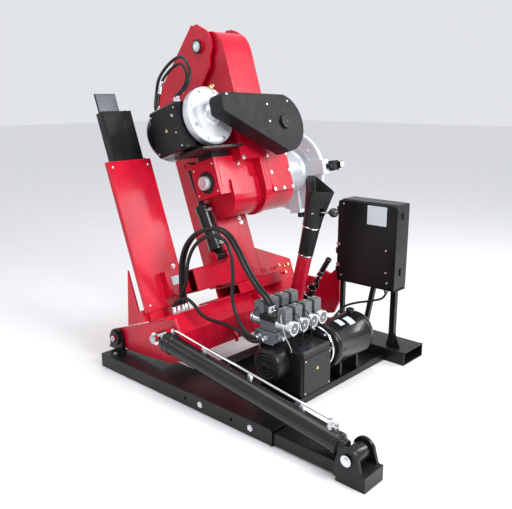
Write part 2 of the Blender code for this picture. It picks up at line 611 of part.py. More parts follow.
def gearbox():
    """The gearbox: left bearing block, round belly, raised rim and main case, all hollow inside."""
    case = plate("gearbox_housing", case_outline(), 0.200, 0.4575, "red_paint", ARM)
    rim = [(-0.195, -0.56), (0.089, -0.56), (0.089, -0.869)] + arc(-0.064, -0.869, 0.153, 0, -140, 12)
    left = helper(block, "left_block", (-0.182, -0.1285, -0.875), (0.025, 0.205, -0.660), parent=ARM)
    riser = helper(block, "riser", (-0.075, 0.030, -0.700), (0.095, 0.248, -0.5006), parent=ARM)
    belly_line = [(-0.190, -0.80), (0.040, -0.80)] + arc(-0.075, -0.893, 0.115, 0, -180, 12)
    belly = helper(plate, "belly", belly_line, -0.040, 0.210, parent=ARM)
    join(case, helper(plate, "rim", rim, 0.188, 0.228, parent=ARM), left, riser, belly)
    room = helper(plate, "gear_room", case_outline(0.010, -0.512), 0.212, 0.4475, parent=ARM)
    axis = [(SPINDLE_U, y, SPINDLE_W) for y in (-0.20, 0.60)]
    shaft = helper(rod, "spindle_bore", *axis, 0.0466, parent=ARM)
    worm_bore = helper(rod, "worm_bore", (0.03, WORM_Y, WORM_W), (0.13, WORM_Y, WORM_W), 0.0186, parent=ARM)
    cut(case, room, shaft, worm_bore)
    ear_u, ear_w = -0.248, -0.653
    lug = arc(ear_u, ear_w, 0.026, 60, 300, 10) + [(-0.165, -0.700), (-0.165, -0.6665)]
    for name, y in (("outer", -0.1125), ("inner", -0.0575)):
        join(case, helper(plate, f"rod_lug_{name}", lug, y, y + 0.013, parent=ARM))
    ends = [(ear_u, y, ear_w) for y in (-0.118, -0.040)]
    return join(case, helper(rod, "lift_upper_pin", *ends, 0.011, parent=ARM, sides=16))


def idler():
    """The idler shaft, with the worm's wheel and the pinion that turns the spindle's gear."""
    shaft = rod("idler_shaft", (0, 0.2150, 0), (0, 0.4440, 0), 0.016, "steel", IDLER, sides=20)
    wheel = helper(rod, "worm_wheel", (0, 0.250, 0), (0, 0.277, 0), 0.0740, parent=IDLER, sides=36)
    pinion = helper(rod, "pinion", (0, 0.325, 0), (0, 0.370, 0), 0.0330, parent=IDLER, sides=20)
    return join(shaft, wheel, pinion)


def motor_supports():
    """The head motor's cradle on the gearbox, and its junction box."""
    mount = block("motor_mount", (-0.100, -0.300, -0.632), (0.150, 0.010, -0.620), "black_paint", ARM)
    pad = helper(block, "mount_pad", (-0.100, -0.125, -0.6594), (0.020, 0.000, -0.626), parent=ARM)
    cradle = helper(block, "mount_cradle", (-0.100, -0.234, -0.626), (0.035, -0.060, -0.545), parent=ARM)
    ends = [(u, MOTOR_Y, MOTOR_W) for u in (-0.40, 0.30)]
    join(mount, pad, cradle)
    cut(mount, helper(rod, "mount_seat", *ends, 0.1291, parent=ARM, sides=36))
    low, high = (-0.205, -0.3285, -0.600), (0.045, -0.2380, -0.335)
    box = block("motor_junction_box", low, high, "black_paint", ARM, edge=0.008)
    return cut(box, helper(rod, "junction_seat", *ends, 0.1412, parent=ARM, sides=36))


def head_motor():
    """The motor over the gearbox: hub and flange, body, fan cowl."""
    r = MOTOR_R
    profile = [(0, 0.160), (0.040, 0.160), (0.050, 0.135), (0.110, 0.120), (0.150, 0.118), (0.165, 0.108)]
    profile += [(0.165, 0.064), (0.150, 0.056), (0.128, 0.050), (0.128, -0.145)]
    profile += [(r, -0.150), (r, -0.285), (0.118, -0.315), (0, -0.315)]
    motor = turned("head_motor", profile, "cast_aluminium", ARM, (0, MOTOR_Y, MOTOR_W), "X", 28)
    ends = [(u, MOTOR_Y, MOTOR_W) for u in (0.03, 0.20)]
    return cut(motor, helper(rod, "motor_shaft_bore", *ends, 0.0195, parent=ARM))


def guard_outline(inset=0.0):
    """Outline of the belt guard in the Y-W plane: a small end at the motor, a large one at the worm."""
    small = arc(-0.170, -0.398, 0.040 - inset, 100, 180, 3)
    small[-1] = (-0.210 + inset, -0.400)
    heel = [(-0.212 + inset, -0.462 + inset * 0.6)]
    large = arc(WORM_Y, WORM_W, 0.172 - inset, -97, 75, 14)
    return small + heel + large


def guard_solid(name, outline, u0, u1, look, group=PARTS):
    bm = bmesh.new()
    face = bm.faces.new([bm.verts.new((u0, y, w)) for y, w in outline])
    grown = bmesh.ops.extrude_face_region(bm, geom=[face])
    moved = [item for item in grown["geom"] if isinstance(item, bmesh.types.BMVert)]
    bmesh.ops.translate(bm, verts=moved, vec=(u1 - u0, 0, 0))
    return from_bmesh(name, bm, look, ARM, group)


def belt_drive():
    """The belt guard, and the two pulleys on their shafts inside it."""
    guard = guard_solid("belt_guard", guard_outline(), GUARD_U0, GUARD_U1, "grey_paint")
    cut(guard, guard_solid("guard_room", guard_outline(0.004), GUARD_U0 + 0.004, GUARD_U1 - 0.004, "steel", CUTTERS))
    for name, y, w, r in (("motor", MOTOR_Y, MOTOR_W, 0.024), ("worm", WORM_Y, WORM_W, 0.026)):
        ends = [(u, y, w) for u in (GUARD_U0 - 0.02, GUARD_U0 + 0.02)]
        cut(guard, helper(rod, f"guard_{name}_hole", *ends, r, parent=ARM))
    ends = [(u, WORM_Y, WORM_W) for u in (GUARD_U1 - 0.003, GUARD_U1 + 0.018)]
    join(guard, helper(rod, "guard_knob", *ends, 0.040, parent=ARM))
    pulley("motor_pulley", DRIVE, 0.030, 0.060)
    pulley("worm_shaft", WORM, 0.105, -0.150)


def pulley(name, parent, radius, shaft_start):
    """A two-groove pulley on its shaft, turned about X."""
    mid, half = 0.225, 0.020
    profile = [(0, mid + half), (radius, mid + half), (radius, mid + 0.014), (radius - 0.007, mid + 0.007)]
    profile += [(radius, mid), (radius - 0.007, mid - 0.007), (radius, mid - 0.014), (radius, mid - half)]
    profile += [(0.0175, mid - half), (0.0175, shaft_start), (0, shaft_start)]
    wheel = turned(name, profile, "steel", parent, axis="X", steps=20)
    if shaft_start < 0:
        join(wheel, helper(rod, "worm_thread", (-0.120, 0, 0), (0.010, 0, 0), 0.0240, parent=parent))
    return wheel


def drive_belt():
    """The belt round both pulleys."""
    small, large = (MOTOR_Y, MOTOR_W, 0.0312), (WORM_Y, WORM_W, 0.1062)
    belt = guard_solid("drive_belt", belt_loop(small, large, 0.007), 0.210, 0.240, "rubber")
    return cut(belt, guard_solid("belt_inside", belt_loop(small, large, 0.0), 0.19, 0.26, "steel", CUTTERS))


def belt_loop(small, large, grow):
    """The tight loop round two circles (centre, centre, radius), offset by grow."""
    y1, w1, r1 = small
    y2, w2, r2 = large
    r1, r2 = r1 + grow, r2 + grow
    lie = math.degrees(math.atan2(w2 - w1, y2 - y1))
    spread = math.degrees(math.acos((r1 - r2) / math.hypot(y2 - y1, w2 - w1)))
    near = arc(y1, w1, r1, lie + spread, lie + 360 - spread, 10)
    far = arc(y2, w2, r2, lie - spread, lie + spread, 16)
    return near + far


def spindle_and_chuck():
    """The spindle with its gear, bell and oil union, the chuck plate with four arms, the jaws."""
    shaft = rod("spindle", (0, -0.1340, 0), (0, 0.6300, 0), 0.0450, "steel", SPINDLE, sides=28)
    gear = helper(rod, "spindle_gear", (0, 0.332, 0), (0, 0.363, 0), 0.1165, parent=SPINDLE, sides=40)
    union = helper(rod, "oil_union", (0, -0.165, 0), (0, -0.1300, 0), 0.036, parent=SPINDLE, sides=6)
    bell = helper(rod, "spindle_bell", (0, 0.468, 0), (0, 0.6300, 0), 0.118, parent=SPINDLE, sides=36, tip=0.142)
    join(shaft, gear, union, bell)
    disc = rod("chuck_plate", (0, 0.6460, 0), (0, 0.6700, 0), CHUCK_R, "cast_aluminium", SPINDLE, sides=48)
    for turn in range(4):
        spoke = helper(block, f"chuck_spoke_{turn}", (-0.01, 0.6312, -0.043), (0.278, 0.692, 0.043), parent=SPINDLE)
        slot = helper(block, f"chuck_slot_{turn}", (0.10, 0.664, -0.016), (0.32, 0.710, 0.016), parent=SPINDLE)
        for item in (spoke, slot):
            item.rotation_euler = (0, CHUCK_TURN + math.pi / 2 * turn, 0)
        join(disc, spoke)
        cut(disc, slot)
    for turn in range(4):
        jaw(turn)


def jaw(turn):
    """One chuck jaw: a block on the arm's face, a key in its slot and a claw."""
    name = f"chuck_jaw_{turn + 1}"
    low, high = (JAW_R - 0.035, 0.6926, -0.032), (JAW_R + 0.035, 0.755, 0.032)
    body = block(name, low, high, "black_paint", SPINDLE, edge=0.004)
    key_low, key_high = (JAW_R - 0.030, 0.6700, -0.0145), (JAW_R + 0.030, 0.700, 0.0145)
    key = helper(block, name + "_key", key_low, key_high, parent=SPINDLE)
    claw_low, claw_high = (JAW_R + 0.012, 0.745, -0.022), (JAW_R + 0.052, 0.785, 0.022)
    claw = helper(block, name + "_claw", claw_low, claw_high, parent=SPINDLE)
    join(body, key, claw)
    for item in (body, key, claw):
        item.rotation_euler = (0, CHUCK_TURN + math.pi / 2 * turn, 0)


# ---------------------------------------------------------------- power unit
def power_unit():
    """Pump motor with its terminal box, the pump's flange and the oil tank."""
    r = PACK_R
    profile = [(0, -0.0600), (0.082, -0.0600), (0.082, -0.075), (r, -0.080), (r, -0.395), (0.070, -0.410), (0, -0.410)]
    motor = turned("pump_motor", profile, "black_paint", MACHINE, (PACK_X, 0, PACK_Z), "Y", 24)
    feet_low, feet_high = (PACK_X - 0.060, -0.280, 0.0126), (PACK_X + 0.025, -0.120, PACK_Z - 0.03)
    join(motor, helper(block, "pump_motor_feet", feet_low, feet_high, parent=MACHINE))
    low, high = (PACK_X + 0.030, -0.310, 0.0412), (PACK_X + 0.170, -0.070, 0.288)
    box = block("pump_terminal_box", low, high, "black_paint", MACHINE, edge=0.010)
    ends = [(PACK_X, y, PACK_Z) for y in (-0.50, 0.0)]
    cut(box, helper(rod, "terminal_seat", *ends, r + 0.001, parent=MACHINE, sides=32))
    ring = [(0, -0.0406), (0.108, -0.0406), (0.118, -0.044), (0.118, -0.056), (0.108, -0.0594), (0, -0.0594)]
    turned("pump_flange", ring, "cast_aluminium", MACHINE, (1.060, 0, TANK_Z), "Y", 24)
    shell = [(0, 0.335), (0.050, 0.333), (0.095, 0.322), (0.118, 0.300), (TANK_R, 0.270)]
    shell += [(TANK_R, -0.030), (0.116, -0.0400), (0, -0.0400)]
    tank = turned("oil_tank", shell, "black_paint", MACHINE, (TANK_X, 0, TANK_Z), "Y", 28)
    low, high = (TANK_X - 0.075, 0.050, 0.0126), (TANK_X + 0.070, 0.220, TANK_Z - 0.08)
    cradle = helper(block, "tank_cradle", low, high, parent=MACHINE)
    ends = [(TANK_X, 0.23, TANK_Z + 0.10), (TANK_X, 0.23, TANK_Z + 0.150)]
    join(tank, cradle, helper(rod, "tank_cap", *ends, 0.022, parent=MACHINE))


def valve_bank():
    """The manifold on its bracket, over the pump motor, and the four valves on it."""
    base = block("valve_manifold", (0.910, -0.378, 0.318), (1.030, -0.063, 0.3774), "grey_paint", MACHINE, edge=0.003)
    leg = helper(block, "manifold_leg", (0.862, -0.300, 0.0126), (0.874, -0.120, 0.330), parent=MACHINE)
    shelf = helper(block, "manifold_shelf", (0.862, -0.300, 0.320), (0.920, -0.120, 0.330), parent=MACHINE)
    join(base, shelf, leg)
    for index, y in enumerate(VALVE_YS):
        valve(f"solenoid_valve_{index + 1}", y)


def valve(name, y):
    """A spool valve: body, a solenoid with its connector at each side, and a front cap."""
    z = VALVE_Z
    body = block(name, (0.925, y - 0.030, 0.3780), (1.028, y + 0.030, 0.462), "grey_plastic", MACHINE, edge=0.003)
    front = helper(rod, name + "_front", (1.02, y, z), (1.105, y, z), 0.029, parent=MACHINE, sides=12)
    cap = helper(rod, name + "_cap", (1.100, y, z), (1.134, y, z), 0.036, parent=MACHINE, sides=16)
    rear = helper(rod, name + "_rear", (0.855, y, z), (0.94, y, z), 0.029, parent=MACHINE, sides=12)
    plug_low, plug_high = (1.045, y - 0.026, z + 0.015), (1.096, y + 0.026, 0.512)
    front_plug = helper(block, name + "_front_plug", plug_low, plug_high, parent=MACHINE)
    plug_low, plug_high = (0.885, y - 0.026, z + 0.015), (0.940, y + 0.026, 0.520)
    rear_plug = helper(block, name + "_rear_plug", plug_low, plug_high, parent=MACHINE)
    return join(body, front, cap, rear, front_plug, rear_plug)


# ---------------------------------------------------------------- pedestal and cabinet
def pedestal():
    """The pedestal on the rear crossmember: a red post under a black boot with a wide mouth."""
    axis = (POST_TOP - POST_FOOT).normalized()
    post = rod("pedestal_post", POST_FOOT + axis * 0.016, POST_TOP, 0.044, "red_paint", MACHINE, sides=28)
    low, high = POST_FOOT + Vector((-0.036, -0.060, 0)), POST_FOOT + Vector((0.036, 0.060, 0.022))
    join(post, helper(block, "pedestal_foot", low, high, parent=MACHINE))
    return loft_boot("pedestal_boot", POST_TOP + axis * GAP)


def loft_boot(name, start):
    """The boot: a round tube, then four soft walls that open to a slanted mouth."""
    across = Vector((0.97, 0, -0.23)).normalized()
    low = [ring_points(start, 0.0455, across), ring_points(BOOT_SEAM, 0.0520, across)]
    seam = ring_points(BOOT_SEAM + Vector((0.0005, 0, 0.002)), 0.0545, across)
    mouth = mouth_points(1.0)
    floor = BOOT_SEAM + Vector((0.012, 0, 0.050))
    inner = [mouth_points(0.93), ring_points(floor, 0.0440, across)]
    bm = bmesh.new()
    loops = [[bm.verts.new(p) for p in ring] for ring in (*low, seam, mouth, *inner)]
    for first, second in zip(loops, loops[1:]):
        for i in range(len(first)):
            j = (i + 1) % len(first)
            bm.faces.new((first[i], first[j], second[j], second[i]))
    bm.faces.new(loops[0])
    bm.faces.new(loops[-1])
    boot = from_bmesh(name, bm, "rubber", MACHINE, smooth=True)
    slot_low, slot_high = (0.815, 0.258, 0.868), (0.905, 0.282, 0.912)
    cut(boot, helper(block, "lever_slot", slot_low, slot_high, parent=MACHINE))
    ends = [(0.800, y, 0.885) for y in (0.18, 0.36)]
    return cut(boot, helper(rod, "lever_pin_bore", *ends, 0.0058, parent=MACHINE, sides=12))


def mouth_points(size, count=24):
    """Points round the mouth, which is a four-sided shape with soft corners."""
    middle = sum(MOUTH, Vector()) / 4
    points = []
    for i in range(count):
        angle = 2 * math.pi * i / count - math.pi / 4
        s = max(-1.0, min(1.0, 1.28 * math.cos(angle)))
        t = max(-1.0, min(1.0, 1.28 * math.sin(angle)))
        east = MOUTH[0].lerp(MOUTH[1], (t + 1) / 2)
        west = MOUTH[3].lerp(MOUTH[2], (t + 1) / 2)
        points.append(middle + (west.lerp(east, (s + 1) / 2) - middle) * size)
    return points


def ring_points(centre, radius, across, count=24):
    """Points round a circle, square to the post."""
    turns = [2 * math.pi * i / count for i in range(count)]
    side = Vector((0, 1, 0))
    return [centre + across * (radius * math.cos(a)) + side * (radius * math.sin(a)) for a in turns]


def control_lever():
    """The ball lever in the boot's slot, and the hand valve with its gripped lever."""
    stem = rod("control_lever", (0, 0, 0), (0.108, 0, 0.013), 0.006, "steel", LEVER, sides=12)
    pin = helper(rod, "lever_pin", (0, -0.052, 0), (0, 0.052, 0), 0.0052, parent=LEVER, sides=12)
    ball = bmesh.new()
    place = Matrix.Translation((0.118, 0, 0.014))
    bmesh.ops.create_uvsphere(ball, u_segments=14, v_segments=8, radius=0.027, matrix=place)
    join(stem, pin, from_bmesh("lever_ball", ball, "steel", LEVER, CUTTERS))
    valve_body = rod("hand_valve", (0.676, 0.360, 0.330), (0.716, 0.360, 0.404), 0.027, "black_paint", MACHINE)
    post = helper(block, "hand_valve_post", (0.655, 0.345, 0.0126), (0.685, 0.375, 0.345), parent=MACHINE)
    ears = [
        helper(block, f"hand_valve_ear_{i}", (0.712, y, 0.392), (0.744, y + 0.007, 0.440), parent=MACHINE)
        for i, y in enumerate((0.3400, 0.3730))
    ]
    join(valve_body, post, *ears)
    grip = rod("hand_lever", (0.030, 0, 0.050), (0.102, 0, 0.171), 0.0165, "rubber", HAND, sides=20)
    shank = helper(rod, "hand_lever_shank", (0, 0, 0), (0.040, 0, 0.067), 0.010, parent=HAND, sides=16)
    hub = helper(rod, "hand_lever_hub", (0, -0.0120, 0), (0, 0.0120, 0), 0.0125, parent=HAND, sides=20)
    return join(grip, shank, hub)


def cabinet():
    low, high = (CAB_X0, CAB_Y0, CAB_Z0), (CAB_X1, CAB_Y1, CAB_Z1)
    shell = block("cabinet_shell", low, high, "black_paint", MACHINE, edge=0.005)
    room = helper(block, "cabinet_room", (CAB_X0 + 0.004, CAB_Y0 - 0.03, CAB_Z0 + 0.004), (CAB_X1 - 0.004, CAB_Y1 - 0.004, CAB_Z1 - 0.004), parent=MACHINE)
    cut(shell, room)
    back = block("cabinet_backplate", (CAB_X0 + 0.03, CAB_Y1 - 0.022, CAB_Z0 + 0.03), (CAB_X1 - 0.03, CAB_Y1 - 0.0046, CAB_Z1 - 0.03), "grey_plastic", MACHINE)
    for row, z in enumerate((0.52, 0.66, 0.80)):
        strip = helper(block, f"device_row_{row}", (CAB_X0 + 0.06, CAB_Y1 - 0.085, z), (CAB_X1 - 0.06, CAB_Y1 - 0.020, z + 0.080), parent=MACHINE)
        join(back, strip)
    door_low = (0.006, -0.010, CAB_Z0 + 0.002)
    door_high = (CAB_X1 - CAB_X0 + 0.012, 0.0114, CAB_Z1 - 0.002)
    door = block("cabinet_door", door_low, door_high, "black_paint", HINGE, edge=0.008)
    for index, z in enumerate((0.48, 0.60, 0.86)):
        join(door, helper(rod, f"hinge_knuckle_{index}", (0, 0, z), (0, 0, z + 0.035), 0.009, parent=HINGE, sides=14))
    stand()


def stand():
    """The stand: three legs on the right beam under a mounting plate."""
    low, high = (CAB_X0 - 0.003, 0.520, 0.4234), (CAB_X1 + 0.005, 0.640, CAB_Z0 - GAP)
    top = block("cabinet_stand", low, high, "black_paint", MACHINE)
    z = BEAM_H + GAP
    left = helper(block, "stand_left_leg", (0.797, 0.535, z), (0.822, 0.560, 0.426), parent=MACHINE)
    right = helper(block, "stand_right_leg", (1.160, 0.530, z), (1.194, 0.560, 0.426), parent=MACHINE)
    lean = [(0.955, z), (0.983, z), (1.048, 0.426), (1.020, 0.426)]
    middle = helper(plate, "stand_middle_leg", lean, 0.535, 0.560, parent=MACHINE)
    gusset = [(1.140, z), (1.235, z), (1.196, 0.165), (1.162, 0.165)]
    foot = helper(plate, "stand_gusset", gusset, 0.541, 0.549, parent=MACHINE)
    return join(top, left, right, middle, foot)


# ---------------------------------------------------------------- hoses
def hoses():
    """Hydraulic hoses and cables in free loops, from fitting to fitting."""
    lift = [
        (0.3740, -0.400, 0.3514), (0.3598, -0.400, 0.3888), (0.358, -0.404, 0.440), (0.360, -0.405, 0.500),
        (0.362, -0.406, 0.566), (0.367, -0.405, 0.642), (0.402, -0.403, 0.733), (0.473, -0.398, 0.811),
        (0.570, -0.391, 0.854), (0.649, -0.386, 0.864), (0.717, -0.381, 0.834), (0.778, -0.377, 0.763),
        (0.837, -0.372, 0.676), (0.895, -0.362, 0.600), (0.948, -0.348, 0.545), (0.975, -0.336, 0.497),
        (0.975, -0.336, 0.4625),
    ]
    back = [
        (0.3740, -0.432, 0.3514), (0.3598, -0.432, 0.3888), (0.386, -0.426, 0.455), (0.425, -0.421, 0.545),
        (0.443, -0.420, 0.658), (0.493, -0.418, 0.751), (0.570, -0.415, 0.812), (0.652, -0.411, 0.834),
        (0.723, -0.409, 0.818), (0.764, -0.407, 0.750), (0.777, -0.407, 0.645), (0.770, -0.407, 0.535),
        (0.796, -0.410, 0.447), (0.858, -0.424, 0.385), (0.920, -0.428, 0.353), (0.945, -0.411, 0.348),
        (0.945, -0.3785, 0.348),
    ]
    tilt = [
        (0.3740, -0.464, 0.3514), (0.3598, -0.464, 0.3888), (0.388, -0.455, 0.430), (0.440, -0.437, 0.450),
        (0.492, -0.426, 0.422), (0.536, -0.421, 0.383), (0.600, -0.416, 0.362), (0.710, -0.412, 0.362),
        (0.824, -0.412, 0.350), (0.905, -0.426, 0.330), (0.965, -0.430, 0.335), (0.985, -0.411, 0.345),
        (0.985, -0.3785, 0.345),
    ]
    cable = [
        (1.120, 0.545, 0.4230), (1.120, 0.545, 0.395), (1.102, 0.525, 0.365), (1.041, 0.502, 0.343),
        (0.934, 0.495, 0.307), (0.868, 0.470, 0.270), (0.830, 0.390, 0.190), (0.806, 0.270, 0.105),
        (0.806, 0.150, 0.080), (0.818, 0.040, 0.105), (0.845, -0.040, 0.160), (0.872, -0.090, 0.205),
        (0.9090, -0.090, 0.205),
    ]
    loop = [
        (-0.180, -0.284, -0.3340), (-0.180, -0.284, -0.300), (-0.205, -0.235, -0.220), (-0.174, -0.215, -0.138),
        (-0.088, -0.205, -0.090), (0.001, -0.200, -0.075), (0.055, -0.205, -0.095), (0.088, -0.212, -0.150),
        (0.094, -0.225, -0.215), (0.070, -0.250, -0.270),
        (0.025, -0.284, -0.302), (0.025, -0.284, -0.3340),
    ]
    tube("hose_lift", lift, 0.011, "rubber", MACHINE)
    tube("hose_return", back, 0.010, "rubber", MACHINE)
    tube("hose_tilt", tilt, 0.010, "rubber", MACHINE)
    tube("cabinet_cable", cable, 0.007, "rubber", MACHINE)
    tube("head_cable", loop, 0.009, "rubber", ARM)


beams()
extension()
pivot_ears()
tilt_cylinder()
arm_plates()
torque_box()
cross_beam()
sleeve()
ears()
mast()
lift_cylinder()
arm_shell()
gearbox()
idler()
motor_supports()
head_motor()
belt_drive()
drive_belt()
spindle_and_chuck()
power_unit()
valve_bank()
pedestal()
control_lever()
cabinet()
hoses()
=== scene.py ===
"""The looks of a truck tyre changer: materials, fastenings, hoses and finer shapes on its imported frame."""
import math
import bpy
import bmesh
from mathutils import Matrix, Vector


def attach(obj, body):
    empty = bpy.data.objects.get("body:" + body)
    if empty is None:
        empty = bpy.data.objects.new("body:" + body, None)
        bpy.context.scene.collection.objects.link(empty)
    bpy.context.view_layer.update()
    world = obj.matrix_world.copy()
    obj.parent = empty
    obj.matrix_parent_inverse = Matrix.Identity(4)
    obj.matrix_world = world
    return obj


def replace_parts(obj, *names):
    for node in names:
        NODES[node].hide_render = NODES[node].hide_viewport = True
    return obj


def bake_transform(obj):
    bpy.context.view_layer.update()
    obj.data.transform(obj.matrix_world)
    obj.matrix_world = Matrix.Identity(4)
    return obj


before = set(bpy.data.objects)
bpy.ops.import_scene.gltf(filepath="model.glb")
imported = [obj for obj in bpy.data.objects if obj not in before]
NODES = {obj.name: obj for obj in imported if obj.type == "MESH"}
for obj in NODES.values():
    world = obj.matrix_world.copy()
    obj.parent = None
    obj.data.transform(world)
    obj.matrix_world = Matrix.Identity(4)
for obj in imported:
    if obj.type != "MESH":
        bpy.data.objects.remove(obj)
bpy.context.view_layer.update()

# ---------------------------------------------------------------- frames, as in the CAD
BASE = Matrix.Translation((-0.7615, -0.0250, 0))
SWING = Matrix.Translation((-0.7615, -0.0250, 0.153)) @ Matrix.Rotation(math.radians(-20.8), 4, "Y")
ARM = SWING @ Matrix.Translation((0.705, 0, 1.520)) @ Matrix.Rotation(math.radians(2.8), 4, "Y")
SPIN = ARM @ Matrix.Translation((-0.072, 0, -0.789))
CLEVIS = BASE @ Matrix.Translation((1.73, -0.6585, 0.115))
LIFT = SWING @ Matrix.Translation((0.475, -0.0785, 0.310))
V = Vector


# ---------------------------------------------------------------- materials
def surface(name, colour, rough, metal=0.0, vary=0.10, bump=0.15, grain=160.0, dust=0.0,
            coat=0.0, shine=0.5, stretch=(1, 1, 1), wear=0.0, wear_colour=(0.35, 0.35, 0.36), cloud=3.0):
    """Paint, metal, rubber or plastic with clouded colour, fine grain, scuffs and settled dust."""
    mat = bpy.data.materials.new(name)
    mat.use_nodes = True
    nodes, links = mat.node_tree.nodes, mat.node_tree.links
    shader = nodes["Principled BSDF"]
    shader.inputs["Metallic"].default_value = metal
    shader.inputs["Specular IOR Level"].default_value = shine
    shader.inputs["Coat Weight"].default_value = coat
    shader.inputs["Coat Roughness"].default_value = 0.12
    place = nodes.new("ShaderNodeTexCoord")
    shape = nodes.new("ShaderNodeMapping")
    shape.inputs["Scale"].default_value = stretch
    links.new(place.outputs["Object"], shape.inputs["Vector"])

    def noise(scale, detail, rough_noise=0.55):
        made = nodes.new("ShaderNodeTexNoise")
        made.inputs["Scale"].default_value = scale
        made.inputs["Detail"].default_value = detail
        made.inputs["Roughness"].default_value = rough_noise
        links.new(shape.outputs["Vector"], made.inputs["Vector"])
        return made.outputs["Fac"]

    def spread(source, low, high, to_low, to_high):
        made = nodes.new("ShaderNodeMapRange")
        values = (low, high, to_low, to_high)
        for socket, value in zip(("From Min", "From Max", "To Min", "To Max"), values):
            made.inputs[socket].default_value = value
        links.new(source, made.inputs["Value"])
        return made.outputs["Result"]

    def mix(factor, first, second):
        made = nodes.new("ShaderNodeMix")
        made.data_type = "RGBA"
        links.new(factor, made.inputs["Factor"])
        for socket, value in ((made.inputs[6], first), (made.inputs[7], second)):
            if isinstance(value, tuple):
                socket.default_value = (*value, 1)
            else:
                links.new(value, socket)
        return made.outputs[2]

    clouds = noise(cloud, 5)
    dark = tuple(max(0.0, c * (1 - vary)) for c in colour)
    light = tuple(min(1.0, c * (1 + vary) + 0.02 * vary) for c in colour)
    tint = mix(spread(clouds, 0.32, 0.68, 0, 1), dark, light)
    scuffs = noise(22.0, 9, 0.72)
    if wear:
        tint = mix(spread(scuffs, 0.64, 0.72, 0, wear), tint, wear_colour)
    if dust:
        facing = nodes.new("ShaderNodeNewGeometry")
        split = nodes.new("ShaderNodeSeparateXYZ")
        links.new(facing.outputs["Normal"], split.inputs["Vector"])
        upward = spread(split.outputs["Z"], 0.55, 1.0, 0, dust)
        patch = nodes.new("ShaderNodeMath")
        patch.operation = "MULTIPLY"
        links.new(upward, patch.inputs[0])
        links.new(spread(noise(9.0, 7), 0.35, 0.7, 0.2, 1), patch.inputs[1])
        tint = mix(patch.outputs[0], tint, (0.42, 0.41, 0.39))
    links.new(tint, shader.inputs["Base Color"])
    links.new(spread(scuffs, 0.3, 0.75, rough * 0.78, min(1, rough * 1.35)), shader.inputs["Roughness"])
    relief = nodes.new("ShaderNodeBump")
    relief.inputs["Strength"].default_value = bump
    relief.inputs["Distance"].default_value = 0.0006
    links.new(noise(grain, 3), relief.inputs["Height"])
    links.new(relief.outputs["Normal"], shader.inputs["Normal"])
    return mat


RED = surface("red_gloss_paint", (0.52, 0.0012, 0.022), 0.30, vary=0.20, bump=0.10, coat=0.12, shine=0.35,
    wear=0.10,
              wear_colour=(0.30, 0.01, 0.02))
BLACK = surface("black_satin_paint", (0.0035, 0.004, 0.005), 0.34, vary=0.35, bump=0.18, coat=0.05, shine=0.28,
                wear=0.25, wear_colour=(0.05, 0.052, 0.056))
BEAM = surface("black_beam_paint", (0.003, 0.0035, 0.0045), 0.34, vary=0.35, bump=0.2, coat=0.05, shine=0.28,
               wear=0.3, wear_colour=(0.05, 0.05, 0.055))
GUARD = surface("charcoal_textured_paint", (0.0065, 0.0072, 0.0085), 0.48, vary=0.25, bump=0.5, grain=420.0,
    shine=0.25, wear=0.2,
                wear_colour=(0.06, 0.06, 0.065))
SILVER = surface("cast_aluminium", (0.66, 0.69, 0.73), 0.40, metal=0.6, vary=0.12, bump=0.4, grain=240.0,
    wear=0.3,
                 wear_colour=(0.42, 0.43, 0.45))
PLATE = surface("machined_chuck_steel", (0.64, 0.74, 0.78), 0.42, metal=0.2, vary=0.10, bump=0.10, grain=90.0,
                wear=0.2, wear_colour=(0.40, 0.42, 0.44))
STEEL = surface("bright_steel", (0.50, 0.51, 0.54), 0.26, metal=1.0, vary=0.12, bump=0.15, wear=0.25,
                wear_colour=(0.30, 0.29, 0.28))
CHROME = surface("polished_chrome", (0.85, 0.86, 0.88), 0.09, metal=1.0, vary=0.04, bump=0.04)
ZINC = surface("zinc_plated", (0.74, 0.75, 0.76), 0.28, metal=0.95, vary=0.10, bump=0.2, wear=0.2)
BRASS = surface("brass_fitting", (0.72, 0.50, 0.20), 0.28, metal=1.0, vary=0.10, bump=0.15, wear=0.2,
                wear_colour=(0.38, 0.28, 0.14))
RUBBER = surface("hose_rubber", (0.005, 0.005, 0.006), 0.36, vary=0.3, shine=0.35, bump=0.35, grain=520.0,
    wear=0.2,
                 wear_colour=(0.05, 0.05, 0.05))
BOOT = surface("moulded_boot", (0.008, 0.0085, 0.010), 0.46, vary=0.3, bump=0.3, grain=300.0, shine=0.28,
    wear=0.15,
               wear_colour=(0.06, 0.06, 0.06))
PLASTIC = surface("grey_connector_plastic", (0.115, 0.122, 0.128), 0.40, vary=0.15, bump=0.3, grain=350.0,
    dust=0.04)
PALE = surface("pale_moulded_plastic", (0.42, 0.44, 0.45), 0.42, vary=0.08, bump=0.25, grain=350.0)
KNOB = surface("black_ball_plastic", (0.010, 0.010, 0.011), 0.14, vary=0.2, bump=0.05, coat=0.5)
TANK = surface("tank_gloss_black", (0.004, 0.0045, 0.0055), 0.24, vary=0.35, bump=0.08, coat=0.15, shine=0.32,
    wear=0.15,
               wear_colour=(0.05, 0.05, 0.055))
SLATE = surface("blue_grey_manifold", (0.16, 0.18, 0.21), 0.30, metal=0.55, vary=0.12, bump=0.25, wear=0.2,
                wear_colour=(0.30, 0.31, 0.33))
LABEL = surface("silver_label", (0.60, 0.66, 0.72), 0.35, vary=0.05, bump=0.05, coat=0.3)
WHITE = surface("white_label", (0.82, 0.84, 0.86), 0.45, vary=0.04, bump=0.05)
YELLOW = surface("faded_yellow_mark", (0.60, 0.46, 0.10), 0.5, vary=0.15, bump=0.1)

